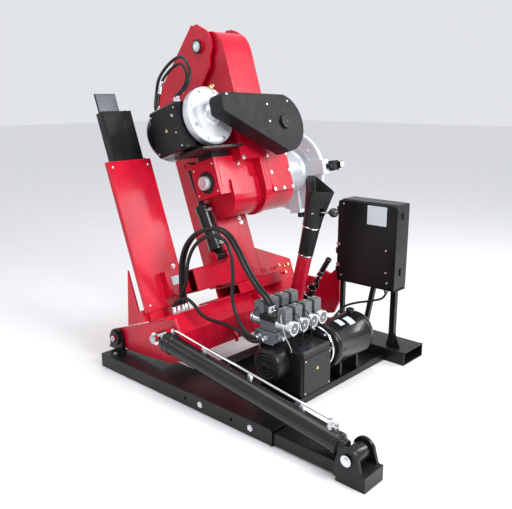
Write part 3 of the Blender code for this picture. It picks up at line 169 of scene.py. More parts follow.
LOOKS = {
    RED: "left_arm_plate right_arm_plate torque_box cross_beam mast_sleeve column_box column_left_ear "
         "column_right_ear arm_shell gearbox_housing pedestal_post",
    BEAM: "left_beam right_beam base_tray left_extension left_pivot_ear right_pivot_ear cabinet_stand",
    BLACK: "mast_tube motor_mount motor_junction_box pump_terminal_box hand_valve tilt_barrel lift_barrel "
           "cabinet_shell cabinet_door pump_motor",
    TANK: "oil_tank lift_rod",
    GUARD: "belt_guard",
    SILVER: "head_motor pump_flange motor_pulley worm_shaft",
    PLATE: "chuck_plate",
    STEEL: "spindle idler_shaft arm_pivot_pin control_lever",
    CHROME: "tilt_rod tilt_pipe",
    RUBBER: "drive_belt hose_lift hose_return hose_tilt cabinet_cable head_cable hand_lever",
    BOOT: "pedestal_boot chuck_jaw_1 chuck_jaw_2 chuck_jaw_3 chuck_jaw_4",
    PLASTIC: "cabinet_backplate solenoid_valve_1 solenoid_valve_2 solenoid_valve_3 solenoid_valve_4",
    SLATE: "valve_manifold",
}
for look, names in LOOKS.items():
    for name in names.split():
        for slot in NODES[name].material_slots:
            slot.material = look


# ---------------------------------------------------------------- building blocks
def rounded(points, radius, closed=True, steps=4):
    """The outline with its corners turned into short curves."""
    points = [V(p) for p in points]
    made = []
    for i, corner in enumerate(points):
        if not closed and i in (0, len(points) - 1):
            made.append(corner)
            continue
        before, after = points[i - 1], points[(i + 1) % len(points)]
        reach = min(radius, (before - corner).length * 0.45, (after - corner).length * 0.45)
        start = corner + (before - corner).normalized() * reach
        end = corner + (after - corner).normalized() * reach
        for k in range(steps + 1):
            t = k / steps
            made.append(start * (1 - t) ** 2 + corner * (2 * t * (1 - t)) + end * t**2)
    return made


def arc(cx, cy, radius, start, end, steps):
    turns = [math.radians(start + (end - start) * i / steps) for i in range(steps + 1)]
    return [(cx + radius * math.cos(a), cy + radius * math.sin(a)) for a in turns]


def lathe(bm, place, start, direction, profile, steps=56, soft=0.0):
    """A turned body along direction. The profile lists (radius, distance along it)."""
    start, along = V(start), V(direction).normalized()
    side = along.orthogonal().normalized()
    other = along.cross(side)
    if soft:
        profile = rounded(profile, soft, closed=False, steps=3)
    rings = []
    for radius, reach in profile:
        centre = start + along * reach
        if radius < 1e-6:
            rings.append([bm.verts.new(place @ centre)])
            continue
        turns = [2 * math.pi * i / steps for i in range(steps)]
        ring = [centre + side * (radius * math.cos(a)) + other * (radius * math.sin(a)) for a in turns]
        rings.append([bm.verts.new(place @ p) for p in ring])
    for a, b in zip(rings, rings[1:]):
        for i in range(steps):
            j = (i + 1) % steps
            corners = [a[i % len(a)], a[j % len(a)], b[j % len(b)], b[i % len(b)]]
            corners = list(dict.fromkeys(corners))
            if len(corners) > 2:
                bm.faces.new(corners)
    for ring in (rings[0], rings[-1]):
        if len(ring) > 2:
            bm.faces.new(ring)


def slab(bm, place, outline, low, high, plane="XZ"):
    """A flat outline made thick: drawn in the named plane, from low to high across it."""
    def point(a, b, c):
        return place @ V({"XZ": (a, c, b), "YZ": (c, a, b), "XY": (a, b, c)}[plane])
    near = [bm.verts.new(point(p[0], p[1], low)) for p in outline]
    far = [bm.verts.new(point(p[0], p[1], high)) for p in outline]
    bm.faces.new(near)
    bm.faces.new(far)
    for i in range(len(outline)):
        j = (i + 1) % len(outline)
        bm.faces.new((near[i], near[j], far[j], far[i]))


def box(bm, place, low, high):
    slab(bm, place, [(low[0], low[2]), (high[0], low[2]), (high[0], high[2]), (low[0], high[2])], low[1],
        high[1])


def bolt(bm, place, at, direction, radius=0.010, height=0.007, washer=True):
    """A hexagon head with a chamfer, on a washer."""
    at, out = V(at), V(direction).normalized()
    if washer:
        lathe(bm, place, at, out, [(0, 0), (radius * 1.45, 0), (radius * 1.45, 0.0018), (0, 0.0018)], 24)
    top = [(0, 0.0015), (radius, 0.0015), (radius, height * 0.8), (radius * 0.86, height), (0, height)]
    lathe(bm, place, at, out, top, 6)


def screw(bm, place, at, direction, radius=0.005):
    lathe(bm, place, at, direction, [(0, 0), (radius, 0), (radius * 0.92, radius * 0.35),
        (radius * 0.5, radius * 0.55),
                                     (radius * 0.34, radius * 0.2), (0, radius * 0.2)], 16)


def piece(name, bm, look, body, bevel=0.0, sharp=32, segments=3):
    """Finishes the mesh as one piece of the object, riding on a body."""
    bmesh.ops.recalc_face_normals(bm, faces=bm.faces)
    mesh = bpy.data.meshes.new(name)
    bm.to_mesh(mesh)
    bm.free()
    mesh.materials.append(look)
    mesh.shade_smooth()
    mesh.set_sharp_from_angle(angle=math.radians(sharp))
    obj = bpy.data.objects.new(name, mesh)
    bpy.context.scene.collection.objects.link(obj)
    if bevel:
        edges = obj.modifiers.new("edges", "BEVEL")
        edges.width = bevel
        edges.segments = segments
        edges.limit_method = "ANGLE"
        edges.angle_limit = math.radians(28)
        edges.harden_normals = True
    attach(obj, body)
    return obj


def smooth_path(points, step):
    """Points read at an even step from a Catmull-Rom curve through the route's points."""
    route = [V(p) for p in points]
    route = [2 * route[0] - route[1], *route, 2 * route[-1] - route[-2]]
    dense = []
    for a, b, c, d in zip(route, route[1:], route[2:], route[3:]):
        for k in range(12):
            t = k / 12
            flow = (c - a) * t + (2 * a - 5 * b + 4 * c - d) * t**2 + (3 * b - a - 3 * c + d) * t**3
            dense.append(b + flow / 2)
    dense.append(route[-2])
    fine = [dense[0]]
    for p in dense[1:-1]:
        if (p - fine[-1]).length >= step:
            fine.append(p)
    return [*fine, dense[-1]]


def tube(name, place, points, radius, look, body=None, step=0.012, resolution=4):
    """A round tube on a smooth curve through the points."""
    curve = bpy.data.curves.new(name, "CURVE")
    curve.dimensions = "3D"
    curve.bevel_depth = radius
    curve.bevel_resolution = resolution
    curve.use_fill_caps = True
    fine = [place @ p for p in smooth_path(points, step)]
    line = curve.splines.new("POLY")
    line.points.add(len(fine) - 1)
    for point, at in zip(line.points, fine):
        point.co = (*at, 1)
    curve.materials.append(look)
    obj = bpy.data.objects.new(name, curve)
    bpy.context.scene.collection.objects.link(obj)
    if body:
        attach(obj, body)
    return obj, fine


def hose(name, place, points, radius, body, node=None, flexes=False):
    """A free hose or cable that goes from one fitting of the machine to another."""
    obj, route = tube(name + "_run", place, points, radius, RUBBER, None if flexes else body)
    if flexes:
        line = obj
        mesh = bpy.data.meshes.new_from_object(line)
        bpy.data.objects.remove(line)
        obj = bpy.data.objects.new(name + "_run", mesh)
        bpy.context.scene.collection.objects.link(obj)
        mesh.shade_smooth()
        place @ V(points[3])
        place @ V(points[-4])
        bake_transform(obj)
    if node:
        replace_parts(obj, node)
    return obj


# ---------------------------------------------------------------- hoses and cables
LIFT_HOSE = [
    (0.3740, -0.400, 0.3514), (0.3598, -0.400, 0.3888), (0.358, -0.404, 0.440), (0.360, -0.405, 0.500),
    (0.362, -0.406, 0.566), (0.367, -0.405, 0.642), (0.402, -0.403, 0.733), (0.473, -0.398, 0.811),
    (0.570, -0.391, 0.854), (0.649, -0.386, 0.864), (0.717, -0.381, 0.834), (0.778, -0.377, 0.763),
    (0.837, -0.372, 0.676), (0.895, -0.362, 0.600), (0.948, -0.348, 0.545), (0.975, -0.336, 0.497),
    (0.975, -0.336, 0.4625),
]
RETURN_HOSE = [
    (0.3740, -0.432, 0.3514), (0.3598, -0.432, 0.3888), (0.386, -0.426, 0.455), (0.425, -0.421, 0.545),
    (0.443, -0.420, 0.658), (0.493, -0.418, 0.751), (0.570, -0.415, 0.812), (0.652, -0.411, 0.834),
    (0.723, -0.409, 0.818), (0.764, -0.407, 0.750), (0.777, -0.407, 0.645), (0.770, -0.407, 0.535),
    (0.796, -0.410, 0.447), (0.858, -0.424, 0.385), (0.920, -0.428, 0.353), (0.945, -0.411, 0.348),
    (0.945, -0.3785, 0.348),
]
TILT_HOSE = [
    (0.3740, -0.464, 0.3514), (0.3598, -0.464, 0.3888), (0.388, -0.455, 0.430), (0.440, -0.437, 0.450),
    (0.492, -0.426, 0.422), (0.536, -0.421, 0.383), (0.600, -0.416, 0.362), (0.710, -0.412, 0.362),
    (0.824, -0.412, 0.350), (0.905, -0.426, 0.330), (0.965, -0.430, 0.335), (0.985, -0.411, 0.345),
    (0.985, -0.3785, 0.345),
]
CABINET_CABLE = [
    (1.120, 0.545, 0.4230), (1.120, 0.545, 0.395), (1.102, 0.525, 0.365), (1.041, 0.502, 0.343),
    (0.934, 0.495, 0.307), (0.868, 0.470, 0.270), (0.830, 0.390, 0.190), (0.806, 0.270, 0.105),
    (0.806, 0.150, 0.080), (0.818, 0.040, 0.105), (0.845, -0.040, 0.160), (0.872, -0.090, 0.205),
    (0.9090, -0.090, 0.205),
]
HEAD_CABLE = [
    (-0.180, -0.284, -0.3340), (-0.180, -0.284, -0.300), (-0.205, -0.235, -0.220), (-0.174, -0.215, -0.138),
    (-0.088, -0.205, -0.090), (0.001, -0.200, -0.075), (0.055, -0.205, -0.095), (0.088, -0.212, -0.150),
    (0.094, -0.225, -0.215), (0.070, -0.250, -0.270), (0.025, -0.284, -0.302), (0.025, -0.284, -0.3340),
]
hose("hose_lift", BASE, LIFT_HOSE, 0.011, "base", "hose_lift", flexes=True)
hose("hose_return", BASE, RETURN_HOSE, 0.010, "base", "hose_return", flexes=True)
hose("hose_tilt", BASE, TILT_HOSE, 0.010, "base", "hose_tilt", flexes=True)
hose("cabinet_cable", BASE, CABINET_CABLE, 0.007, "base", "cabinet_cable")
hose("head_cable", ARM, HEAD_CABLE, 0.009, "chuck_arm", "head_cable")
# Two more hoses that only the looks need: one beside the lift hose, and one inside the loop over the head.
hose("hose_lift_second", BASE, [(x, y + 0.025, z) for x, y, z in LIFT_HOSE], 0.009, "base", flexes=True)
INNER = [(-0.06 + (u + 0.06) * 0.80, y, w if w < -0.29 else -0.25 + (w + 0.25) * 0.80) for u, y,
    w in HEAD_CABLE]
hose("head_hose_inner", ARM, INNER, 0.008, "chuck_arm")


def ferrule(bm, place, at, direction, radius, length=0.040):
    """A crimped hose end with its nut."""
    profile = [(radius * 0.6, 0), (radius * 1.28, 0), (radius * 1.28, length * 0.35),
        (radius * 1.12, length * 0.40),
               (radius * 1.12, length * 0.95), (radius * 1.02, length)]
    lathe(bm, place, at, direction, profile, 20)
    nut = [(radius * 0.5, 0), (radius * 1.5, 0), (radius * 1.5, length * 0.32), (radius * 0.5, length * 0.32)]
    lathe(bm, place, at, direction, nut, 6)


bm = bmesh.new()
for y, r in ((-0.375, 0.009), (-0.400, 0.011), (-0.432, 0.010), (-0.464, 0.010)):
    ferrule(bm, BASE, (0.3740, y, 0.3516), (-0.355, 0, 0.935), r)
piece("hose_box_fittings", bm, ZINC, "swing_frame")
bm = bmesh.new()
ferrule(bm, BASE, (0.975, -0.336, 0.4622), (0, 0, 1), 0.011)
ferrule(bm, BASE, (0.975, -0.311, 0.4622), (0, 0, 1), 0.009)
ferrule(bm, BASE, (0.945, -0.3783, 0.348), (0, -1, 0), 0.010)
ferrule(bm, BASE, (0.985, -0.3783, 0.345), (0, -1, 0), 0.010)
piece("hose_fittings", bm, ZINC, "base")
bm = bmesh.new()
for u in (-0.180, -0.156, 0.008, 0.025):
    gland = [(0.006, 0), (0.0115, 0), (0.0115, 0.012), (0.0105, 0.015), (0.0100, 0.030)]
    lathe(bm, ARM, (u, -0.284, -0.335), (0, 0, 1), gland, 24)
crimp = [(0.0086, 0), (0.0125, 0.001), (0.0125, 0.020), (0.0108, 0.023), (0.0108, 0.052), (0.0125, 0.055),
    (0.0125, 0.072),
         (0.0086, 0.073)]
lathe(bm, ARM, V(INNER[2]), V(INNER[3]) - V(INNER[2]), crimp, 20)
piece("head_cable_glands", bm, ZINC, "chuck_arm")
bm = bmesh.new()
lathe(bm, BASE, (1.120, 0.545, 0.4232), (0, 0, -1), [(0.006, 0), (0.014, 0), (0.014, 0.010), (0.009, 0.028)],
    24)
lathe(bm, BASE, (0.9085, -0.090, 0.205), (-1, 0, 0), [(0.006, 0), (0.014, 0), (0.014, 0.010), (0.009, 0.028)],
    24)
piece("cable_glands", bm, PLASTIC, "base")

# ---------------------------------------------------------------- base
bm = bmesh.new()
for x in (0.833, 1.176):
    bolt(bm, BASE, (x, -0.7075, 0.043), (0, -1, 0), 0.011, 0.009)
for x, y in ((0.05, -0.655), (0.05, 0.655), (0.045, -0.560)):
    bolt(bm, BASE, (x, y, 0.080), (0, 0, 1), 0.009, 0.007)
bolt(bm, BASE, (1.73, -0.735, 0.115), (0, -1, 0), 0.017, 0.010)
bolt(bm, BASE, (1.73, -0.582, 0.115), (0, 1, 0), 0.017, 0.010)
piece("base_bolts", bm, ZINC, "base")
bm = bmesh.new()
for y, side in ((-0.6135, -1), (0.6135, 1)):
    profile = [(0.0212, 0), (0.044, 0), (0.044, 0.010), (0.041, 0.0135), (0.026, 0.0135), (0.0212, 0.010)]
    lathe(bm, BASE, (0, y + 0.0005 * side, 0.153), (0, side, 0), profile, 48)
    for x in (-0.063, 0.063):
        slab(bm, BASE, [(x - 0.010, 0.0802), (x + 0.010, 0.0802), (x + 0.004, 0.0905), (x - 0.004, 0.0905)],
             y - 0.022 if side > 0 else y - 0.001, y + 0.001 if side > 0 else y + 0.022)
piece("pivot_bearing_rings", bm, BLACK, "base", 0.0012)
bm = bmesh.new()
for side in (-1, 1):
    lathe(bm, SWING, (0, 0.628 * side, 0), (0, side, 0), [(0, 0), (0.0185, 0), (0.0185, 0.008), (0.016, 0.0105),
        (0.006, 0.0105),
                                                         (0.005, 0.007), (0, 0.007)], 40)
piece("trunnion_caps", bm, STEEL, "swing_frame")
bm = bmesh.new()
for x0, x1, y0, y1 in ((1.3045, 1.3125, -0.7095, -0.4855), (1.2905, 1.2965, 0.4855, 0.7095)):
    for low, high in (((x0, y0, 0.0735), (x1, y1, 0.0822)), ((x0, y0, 0.0005), (x1, y1, 0.0065)),
                      ((x0, y0, 0.0005), (x1, y0 + 0.0085, 0.0822)),
                      ((x0, y1 - 0.0085, 0.0005), (x1, y1, 0.0822))):
        box(bm, BASE, low, high)
piece("beam_end_rims", bm, BEAM, "base", 0.0012)

# ---------------------------------------------------------------- tilt cylinder
along = (V((0.4733, 0, 0.29535)) - V((1.73, 0, 0.115)))
reach = along.length
along.normalize()
bm = bmesh.new()
profile = [(0.020, 0.045), (0.034, 0.050), (0.036, 0.072), (0.0485, 0.078), (0.0505, 0.084), (0.0505, 0.100),
    (0.049, 0.104),
           (0.049, reach - 0.118), (0.0545, reach - 0.115), (0.0545, reach - 0.092), (0.0525, reach - 0.090),
           (0.0525, reach - 0.086), (0.0545, reach - 0.084), (0.0545, reach - 0.060), (0.048, reach - 0.056),
           (0.0355, reach - 0.056), (0.0345, reach - 0.058), (0.0345, 0.110)]
lathe(bm, CLEVIS, (0, 0, 0), along, profile, 72, 0.002)
lathe(bm, CLEVIS, (0, -0.040, 0), (0, 1, 0), [(0.014, 0), (0.040, 0), (0.040, 0.080), (0.014, 0.080)], 48,
    0.003)
barrel = piece("tilt_barrel_shell", bm, TANK, "tilt_barrel")
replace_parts(barrel, "tilt_barrel")
bm = bmesh.new()
for t, lift in ((0.112, 0.046), (reach - 0.088, 0.052)):
    foot = along * t + V((0, 0.018, lift - 0.006))
    lathe(bm, CLEVIS, foot, (0, 0, 1), [(0, 0), (0.0125, 0), (0.0125, 0.016), (0.0095, 0.018), (0.0095, 0.030),
        (0, 0.030)], 6)
for t in (0.30, 0.62, 0.94):
    low = along * t + V((-0.010, 0.009, 0.044))
    box(bm, CLEVIS, low, low + V((0.018, 0.018, 0.026)))
piece("pipe_fittings", bm, ZINC, "tilt_barrel", 0.0012)
bm = bmesh.new()
stub = along * 0.135
lathe(bm, CLEVIS, stub + V((0.0, -0.004, 0.044)), (0, 0, 1), [(0, 0), (0.015, 0), (0.015, 0.018),
    (0.010, 0.020), (0.010, 0.034),
                                                             (0.013, 0.036), (0.013, 0.048), (0, 0.050)], 6)
piece("port_fitting", bm, ZINC, "tilt_barrel")
bm = bmesh.new()
lathe(bm, SWING, (0.493, -0.7055, -0.035), (0, -1, 0), [(0, 0), (0.024, 0), (0.024, 0.004), (0.018, 0.0065),
    (0, 0.0065)], 40)
piece("tilt_pin_cap", bm, STEEL, "swing_frame")

# ---------------------------------------------------------------- swing frame
bm = bmesh.new()
for y, w in ((0.1981, 0.5155), (0.2049, 0.4849)):
    bolt(bm, SWING, (0.450, y, w), (1, 0, 0), 0.010, 0.008)
for y, w in ((-0.560, 0.940), (-0.315, 0.940), (-0.560, 0.135), (-0.315, 0.135)):
    screw(bm, SWING, (0.345, y, w), (1, 0, 0), 0.008)
bolt(bm, SWING, (0.345, -0.3317, 0.3208), (1, 0, 0), 0.010, 0.010)
piece("frame_bolts", bm, ZINC, "swing_frame")
bm = bmesh.new()
slab(bm, SWING, rounded([(-0.405, 0.212), (-0.345, 0.212), (-0.345, 0.262), (-0.405, 0.262)], 0.004), 0.3951,
    0.3962, "YZ")
piece("clamp_label", bm, LABEL, "swing_frame")
bm = bmesh.new()
lathe(bm, SWING, (0.705, -0.0246, 1.520), (0, -1, 0), [(0.021, 0), (0.040, 0), (0.040, 0.0025), (0.038, 0.0040),
    (0.021, 0.0040)], 56)
piece("top_pin_bushing", bm, BLACK, "swing_frame", 0.001)
bm = bmesh.new()
lathe(bm, ARM, (0, -0.0285, 0), (0, -1, 0), [(0, 0), (0.0195, 0), (0.0195, 0.002), (0.017, 0.0040),
    (0.007, 0.0040), (0.006, 0.002),
                                            (0, 0.002)], 40)
piece("top_pin_face", bm, CHROME, "chuck_arm")
bm = bmesh.new()
for u in (0.330, 0.405, 0.480):
    slab(bm, SWING, [(u - 0.008, 0.0524), (u + 0.008, 0.0524), (u + 0.005, 0.0600), (u - 0.005, 0.0600)], -0.20,
        0.40)
for w in (0.145, 0.265):
    slab(bm, SWING, [(0.4505, w - 0.004), (0.4585, w - 0.004), (0.4505, w + 0.008)], -0.280, 0.0)
piece("weld_strips", bm, RED, "swing_frame", 0.001)
bm = bmesh.new()
for y, w in ((0.3498, 0.150), (0.435, 0.140), (0.395, 0.095)):
    lathe(bm, SWING, (0.50, y, w), (1, 0, 0.2), [(0, 0), (0.011, 0), (0.011, 0.012), (0.007, 0.014),
        (0.007, 0.030), (0.010, 0.032),
                                               (0.010, 0.040), (0, 0.040)], 12)
piece("brass_fittings", bm, BRASS, "swing_frame")
bm = bmesh.new()
for y0, y1 in ((-0.536, -0.5295), (-0.3175, -0.311)):
    box(bm, SWING, (0.268, y0, 0.9752), (0.332, y1, 0.984))
piece("sleeve_wipers", bm, BLACK, "swing_frame", 0.001)
bm = bmesh.new()
for y in (-0.500, -0.345):
    bolt(bm, SWING, (0.300, y, 1.2732), (0, 0, 1), 0.009, 0.010)
flag = rounded([(-0.520, 1.276), (-0.386, 1.276), (-0.386, 1.382), (-0.520, 1.382)], 0.004)
slab(bm, SWING, flag, 0.3042, 0.3056, "YZ")
piece("mast_head_plate", bm, SLATE, "mast", 0.0008)

# ---------------------------------------------------------------- lift cylinder
lift_along = V((-0.050, 0, 0.570)).normalized()
bm = bmesh.new()
profile = [(0.018, 0.022), (0.026, 0.030), (0.040, 0.036), (0.0455, 0.042), (0.0455, 0.055), (0.0440, 0.058),
    (0.0440, 0.272),
           (0.0475, 0.275), (0.0475, 0.296), (0.0460, 0.298), (0.0460, 0.301), (0.0475, 0.303), (0.0475, 0.318),
           (0.043, 0.322), (0.0335, 0.322), (0.0320, 0.320), (0.0320, 0.070)]
lathe(bm, LIFT, (0, 0, 0), lift_along, profile, 64, 0.002)
lathe(bm, LIFT, (0, -0.034, 0), (0, 1, 0), [(0.012, 0), (0.027, 0), (0.027, 0.068), (0.012, 0.068)], 40, 0.002)
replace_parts(piece("lift_barrel_shell", bm, TANK, "lift_barrel"), "lift_barrel")
bm = bmesh.new()
for t in (0.075, 0.285):
    lathe(bm, LIFT, lift_along * t + V((0.043, 0, 0)), (1, 0, 0.05),
        [(0, 0), (0.012, 0), (0.012, 0.014), (0.009, 0.016),
                                                                    (0.009, 0.026), (0, 0.026)], 6)
piece("lift_ports", bm, ZINC, "lift_barrel")

# ---------------------------------------------------------------- chuck arm
crown = [(0.164, -0.060), (0.158, -0.020), (0.140, 0.022), (0.108, 0.052), (0.062, 0.066)]
outline = [(0.165, -0.4995), (0.165, -0.100), *crown, (0.010, 0.0625), (-0.045, 0.040), (-0.075, 0.0),
    (-0.075, -0.4995)]
bm = bmesh.new()
slab(bm, ARM, rounded(outline, 0.030, steps=5), 0.0215, 0.2505)
for y in (0.0205, 0.2509):
    lathe(bm, ARM, (0, y, 0), (0, 1, 0), [(0.0206, 0), (0.050, 0), (0.050, 0.0006), (0.0206, 0.0006)], 48)
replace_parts(piece("arm_cover", bm, RED, "chuck_arm", 0.009, segments=4), "arm_shell")
bm = bmesh.new()
slab(bm, ARM, [(0.0385, -0.45), (0.0445, -0.45), (0.0445, -0.05), (0.0385, -0.05)], 0.1648, 0.1662, "YZ")
slab(bm, ARM, rounded([(0.060, -0.30), (0.216, -0.30), (0.216, -0.085), (0.060, -0.085)], 0.012), 0.1648,
    0.1664, "YZ")
piece("arm_cover_ridge", bm, RED, "chuck_arm", 0.0006)

M = (0, -0.150, -0.440)
bm = bmesh.new()
face = [(0, 0.158), (0.024, 0.158), (0.040, 0.155), (0.048, 0.135), (0.060, 0.128), (0.110, 0.120),
    (0.148, 0.118), (0.165, 0.110),
        (0.165, 0.064), (0.150, 0.056), (0.128, 0.050), (0.05, 0.048)]
lathe(bm, ARM, M, (1, 0, 0), face, 96, 0.004)
for k in range(12):
    a = math.radians(30 * k + 8)
    rib = [(0.122, 0.118), (0.150, 0.118), (0.150, 0.128), (0.128, 0.127)]
    turn = Matrix.Translation(M) @ Matrix.Rotation(a, 4, "X")
    slab(bm, ARM @ turn, [(r, u) for r, u in rib], -0.004, 0.004, "YZ")
motor_face = piece("motor_face", bm, SILVER, "chuck_arm", 0.0012)
bm = bmesh.new()
lathe(bm, ARM, M, (1, 0, 0), [(0, -0.150), (0.116, -0.150), (0.116, 0.049), (0, 0.049)], 72)
for k in range(40):
    turn = Matrix.Translation(M) @ Matrix.Rotation(math.radians(9 * k), 4, "X")
    box(bm, ARM @ turn, (-0.144, -0.0016, 0.112), (0.048, 0.0016, 0.1275))
piece("motor_ribs", bm, BLACK, "chuck_arm")
bm = bmesh.new()
cowl = [(0.130, -0.146), (0.1385, -0.150), (0.140, -0.156), (0.140, -0.278), (0.136, -0.292), (0.124, -0.305),
    (0.110, -0.3135),
        (0.105, -0.3105), (0.098, -0.3135), (0.088, -0.3145), (0.083, -0.3115), (0.076, -0.3145),
        (0.064, -0.315), (0.060, -0.312),
        (0.054, -0.315), (0.040, -0.315), (0.036, -0.312), (0.030, -0.315), (0, -0.315)]
lathe(bm, ARM, V(M) + V((0, 0, -0.012)), (1, 0, 0), [(r * 1.13, t) for r, t in cowl], 96)
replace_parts(piece("fan_cowl", bm, TANK, "chuck_arm"), "head_motor")
bm = bmesh.new()
for k in range(8):
    a = math.radians(45 * k + 20)
    at = V(M) + V((0.1185, 0.142 * math.cos(a), 0.142 * math.sin(a)))
    bolt(bm, ARM, at, (1, 0, 0), 0.008, 0.009)
for k in range(5):
    a = math.radians(-150 + 24 * k)
    at = V(M) + V((0.067, 0.158 * math.cos(a), 0.158 * math.sin(a)))
    spring = [(0.0, 0), (0.007, 0)] + [(0.007 if i % 2 else 0.0052, 0.003 * i) for i in range(1, 12)] + [(0,
        0.036)]
    lathe(bm, ARM, at, (1, 0, 0), spring, 14)
piece("motor_bolts", bm, ZINC, "chuck_arm")
bm = bmesh.new()
at = (0.1185, -0.1032, -0.2790)
lathe(bm, ARM, at, (1, 0, 0.1), [(0, -0.012), (0.012, -0.012), (0.012, 0.006), (0.008, 0.008), (0.008, 0.020),
    (0, 0.022)], 6)
piece("motor_brass_plug", bm, BRASS, "chuck_arm")

bm = bmesh.new()
lid = rounded([(-0.196, -0.591), (0.036, -0.591), (0.036, -0.352), (-0.196, -0.352)], 0.012)
slab(bm, ARM, lid, -0.3325, -0.3282)
for k in range(6):
    y = -0.318 + 0.013 * k
    slab(bm, ARM, [(y, -0.585), (y + 0.006, -0.585), (y + 0.006, -0.360), (y, -0.360)], 0.0448, 0.0485, "YZ")
slab(bm, ARM, [(-0.190, -0.3352), (0.030, -0.3352), (0.022, -0.3322), (-0.182, -0.3322)], -0.318, -0.250)
piece("junction_box_lid", bm, BLACK, "chuck_arm", 0.0015)
bm = bmesh.new()
for u in (-0.183, 0.023):
    for w in (-0.578, -0.365):
        screw(bm, ARM, (u, -0.3325, w), (0, -1, 0), 0.005)
for y, w in ((0.144, -0.4325), (0.1359, -0.5318), (-0.165, -0.372), (0.330, -0.415)):
    screw(bm, ARM, (0.280, y, w), (1, 0, 0), 0.0075)
piece("head_screws", bm, ZINC, "chuck_arm")
bm = bmesh.new()
slab(bm, ARM, [(-0.089, -0.478), (-0.065, -0.478), (-0.077, -0.457)], -0.3332, -0.3324)
piece("junction_mark", bm, YELLOW, "chuck_arm")

small = arc(-0.170, -0.398, 0.040, 100, 180, 8)
small[-1] = (-0.210, -0.400)
guard_line = small + [(-0.212, -0.462)] + arc(0.2635, -0.541, 0.172, -97, 75, 44)
bm = bmesh.new()
slab(bm, ARM, guard_line, 0.175, 0.2795, "YZ")
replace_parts(piece("belt_guard_shell", bm, GUARD, "chuck_arm", 0.007, segments=4), "belt_guard")
bm = bmesh.new()
rim = arc(0.2635, -0.541, 0.158, -80, 62, 30)
inner = arc(0.2635, -0.541, 0.154, -80, 62, 30)
slab(bm, ARM, rim + inner[::-1], 0.2790, 0.2806, "YZ")
profile = [(0, 0.0145), (0.020, 0.0145), (0.022, 0.0185), (0.036, 0.0180), (0.0405, 0.013), (0.0405, -0.002),
    (0, -0.002)]
lathe(bm, ARM, (0.280, 0.2635, -0.541), (1, 0, 0), profile, 64, 0.0015)
slab(bm, ARM, arc(0.2635, -0.541, 0.050, 150, 260, 14) + arc(0.2635, -0.541, 0.045, 150, 260, 14)[::-1], 0.279,
    0.2812, "YZ")
piece("guard_knob", bm, BLACK, "chuck_arm", 0.0006)

# ---------------------------------------------------------------- gearbox, spindle and chuck
bm = bmesh.new()
slab(bm, ARM, rounded([(0.262, -0.915), (0.452, -0.915), (0.452, -0.672), (0.262, -0.672)], 0.010), 0.0768,
    0.0810, "YZ")
slab(bm, ARM, rounded([(-0.105, -0.832), (0.028, -0.832), (0.028, -0.680), (-0.105, -0.680)], 0.008), 0.0248,
    0.0275, "YZ")
for y in (0.205, 0.246):
    slab(bm, ARM, [(y, -0.872), (y + 0.005, -0.872), (y + 0.005, -0.562), (y, -0.562)], 0.0888, 0.0912, "YZ")
piece("gearbox_covers", bm, RED, "chuck_arm", 0.0012)
bm = bmesh.new()
for y, w in ((0.2702, -0.690), (0.2755, -0.795), (0.2755, -0.901), (0.3600, -0.9015), (0.443, -0.9015),
    (0.443, -0.795), (0.443, -0.690)):
    bolt(bm, ARM, (0.0812, y, w), (1, 0, 0), 0.0075, 0.006)
for y, w in ((0.050, -0.690), (0.230, -0.600)):
    bolt(bm, ARM, (0.0950, y, w), (1, 0, 0), 0.0095, 0.007)
for y, w in ((0.060, -0.715), (0.075, -0.835)):
    lathe(bm, ARM, (0.022, y, w), (1, 0, 0), [(0, 0), (0.013, 0), (0.013, 0.010), (0.010, 0.0125), (0, 0.0125)],
        6)
for y, w in ((-0.160, -0.700), (-0.160, -0.850), (0.005, -0.852), (0.005, -0.690)):
    screw(bm, ARM, (y, -0.1285, w), (0, -1, 0), 0.006)
piece("gearbox_bolts", bm, ZINC, "chuck_arm")
bm = bmesh.new()
lathe(bm, ARM, (-0.072, -0.1289, -0.789), (0, -1, 0), [(0.050, 0), (0.064, 0), (0.064, 0.007), (0.060, 0.010),
    (0.050, 0.010)], 56)
piece("bearing_ring", bm, BLACK, "chuck_arm")
bm = bmesh.new()
lathe(bm, SPIN, (0, -0.165, 0), (0, 1, 0), [(0.0205, 0.009), (0.0205, 0.0015), (0.022, 0), (0.036, 0),
    (0.0405, 0.005), (0.0405, 0.026),
                                          (0.0372, 0.028), (0.0372, 0.031), (0.0448, 0.031), (0.0448, 0.600)],
                                          48)
lathe(bm, SPIN, (0, -0.1652, 0), (0, 1, 0), [(0, 0.004), (0.010, 0.004), (0.019, 0.0)], 6)
bell = [(0.0455, 0.462), (0.100, 0.466), (0.116, 0.472), (0.118, 0.480), (0.119, 0.520), (0.124, 0.560),
    (0.132, 0.600),
        (0.142, 0.618), (0.142, 0.6295), (0.045, 0.6295)]
lathe(bm, SPIN, (0, 0, 0), (0, 1, 0), bell, 96, 0.003)
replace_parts(piece("spindle_turned", bm, SILVER, "spindle", sharp=30), "spindle")
bm = bmesh.new()
rings = [(0.148, 0.6452), (0.160, 0.6452), (0.160, 0.6432), (0.172, 0.6432), (0.172, 0.6452), (0.240, 0.6452),
    (0.240, 0.6435),
         (0.250, 0.6435), (0.2585, 0.6462), (0.2585, 0.6698), (0.252, 0.6718), (0.238, 0.6718), (0.238, 0.6704),
         (0.150, 0.6704)]
lathe(bm, SPIN, (0, 0, 0), (0, 1, 0), rings, 120)
for k in range(8):
    a = math.radians(45 * k + 29.5)
    bolt(bm, SPIN, (0.118 * math.cos(a), 0.6705, 0.118 * math.sin(a)), (0, 1, 0), 0.010, 0.008)
    bolt(bm, SPIN, (0.195 * math.cos(a), 0.6455, 0.195 * math.sin(a)), (0, -1, 0), 0.009, 0.007)
piece("chuck_face_rings", bm, PLATE, "spindle")
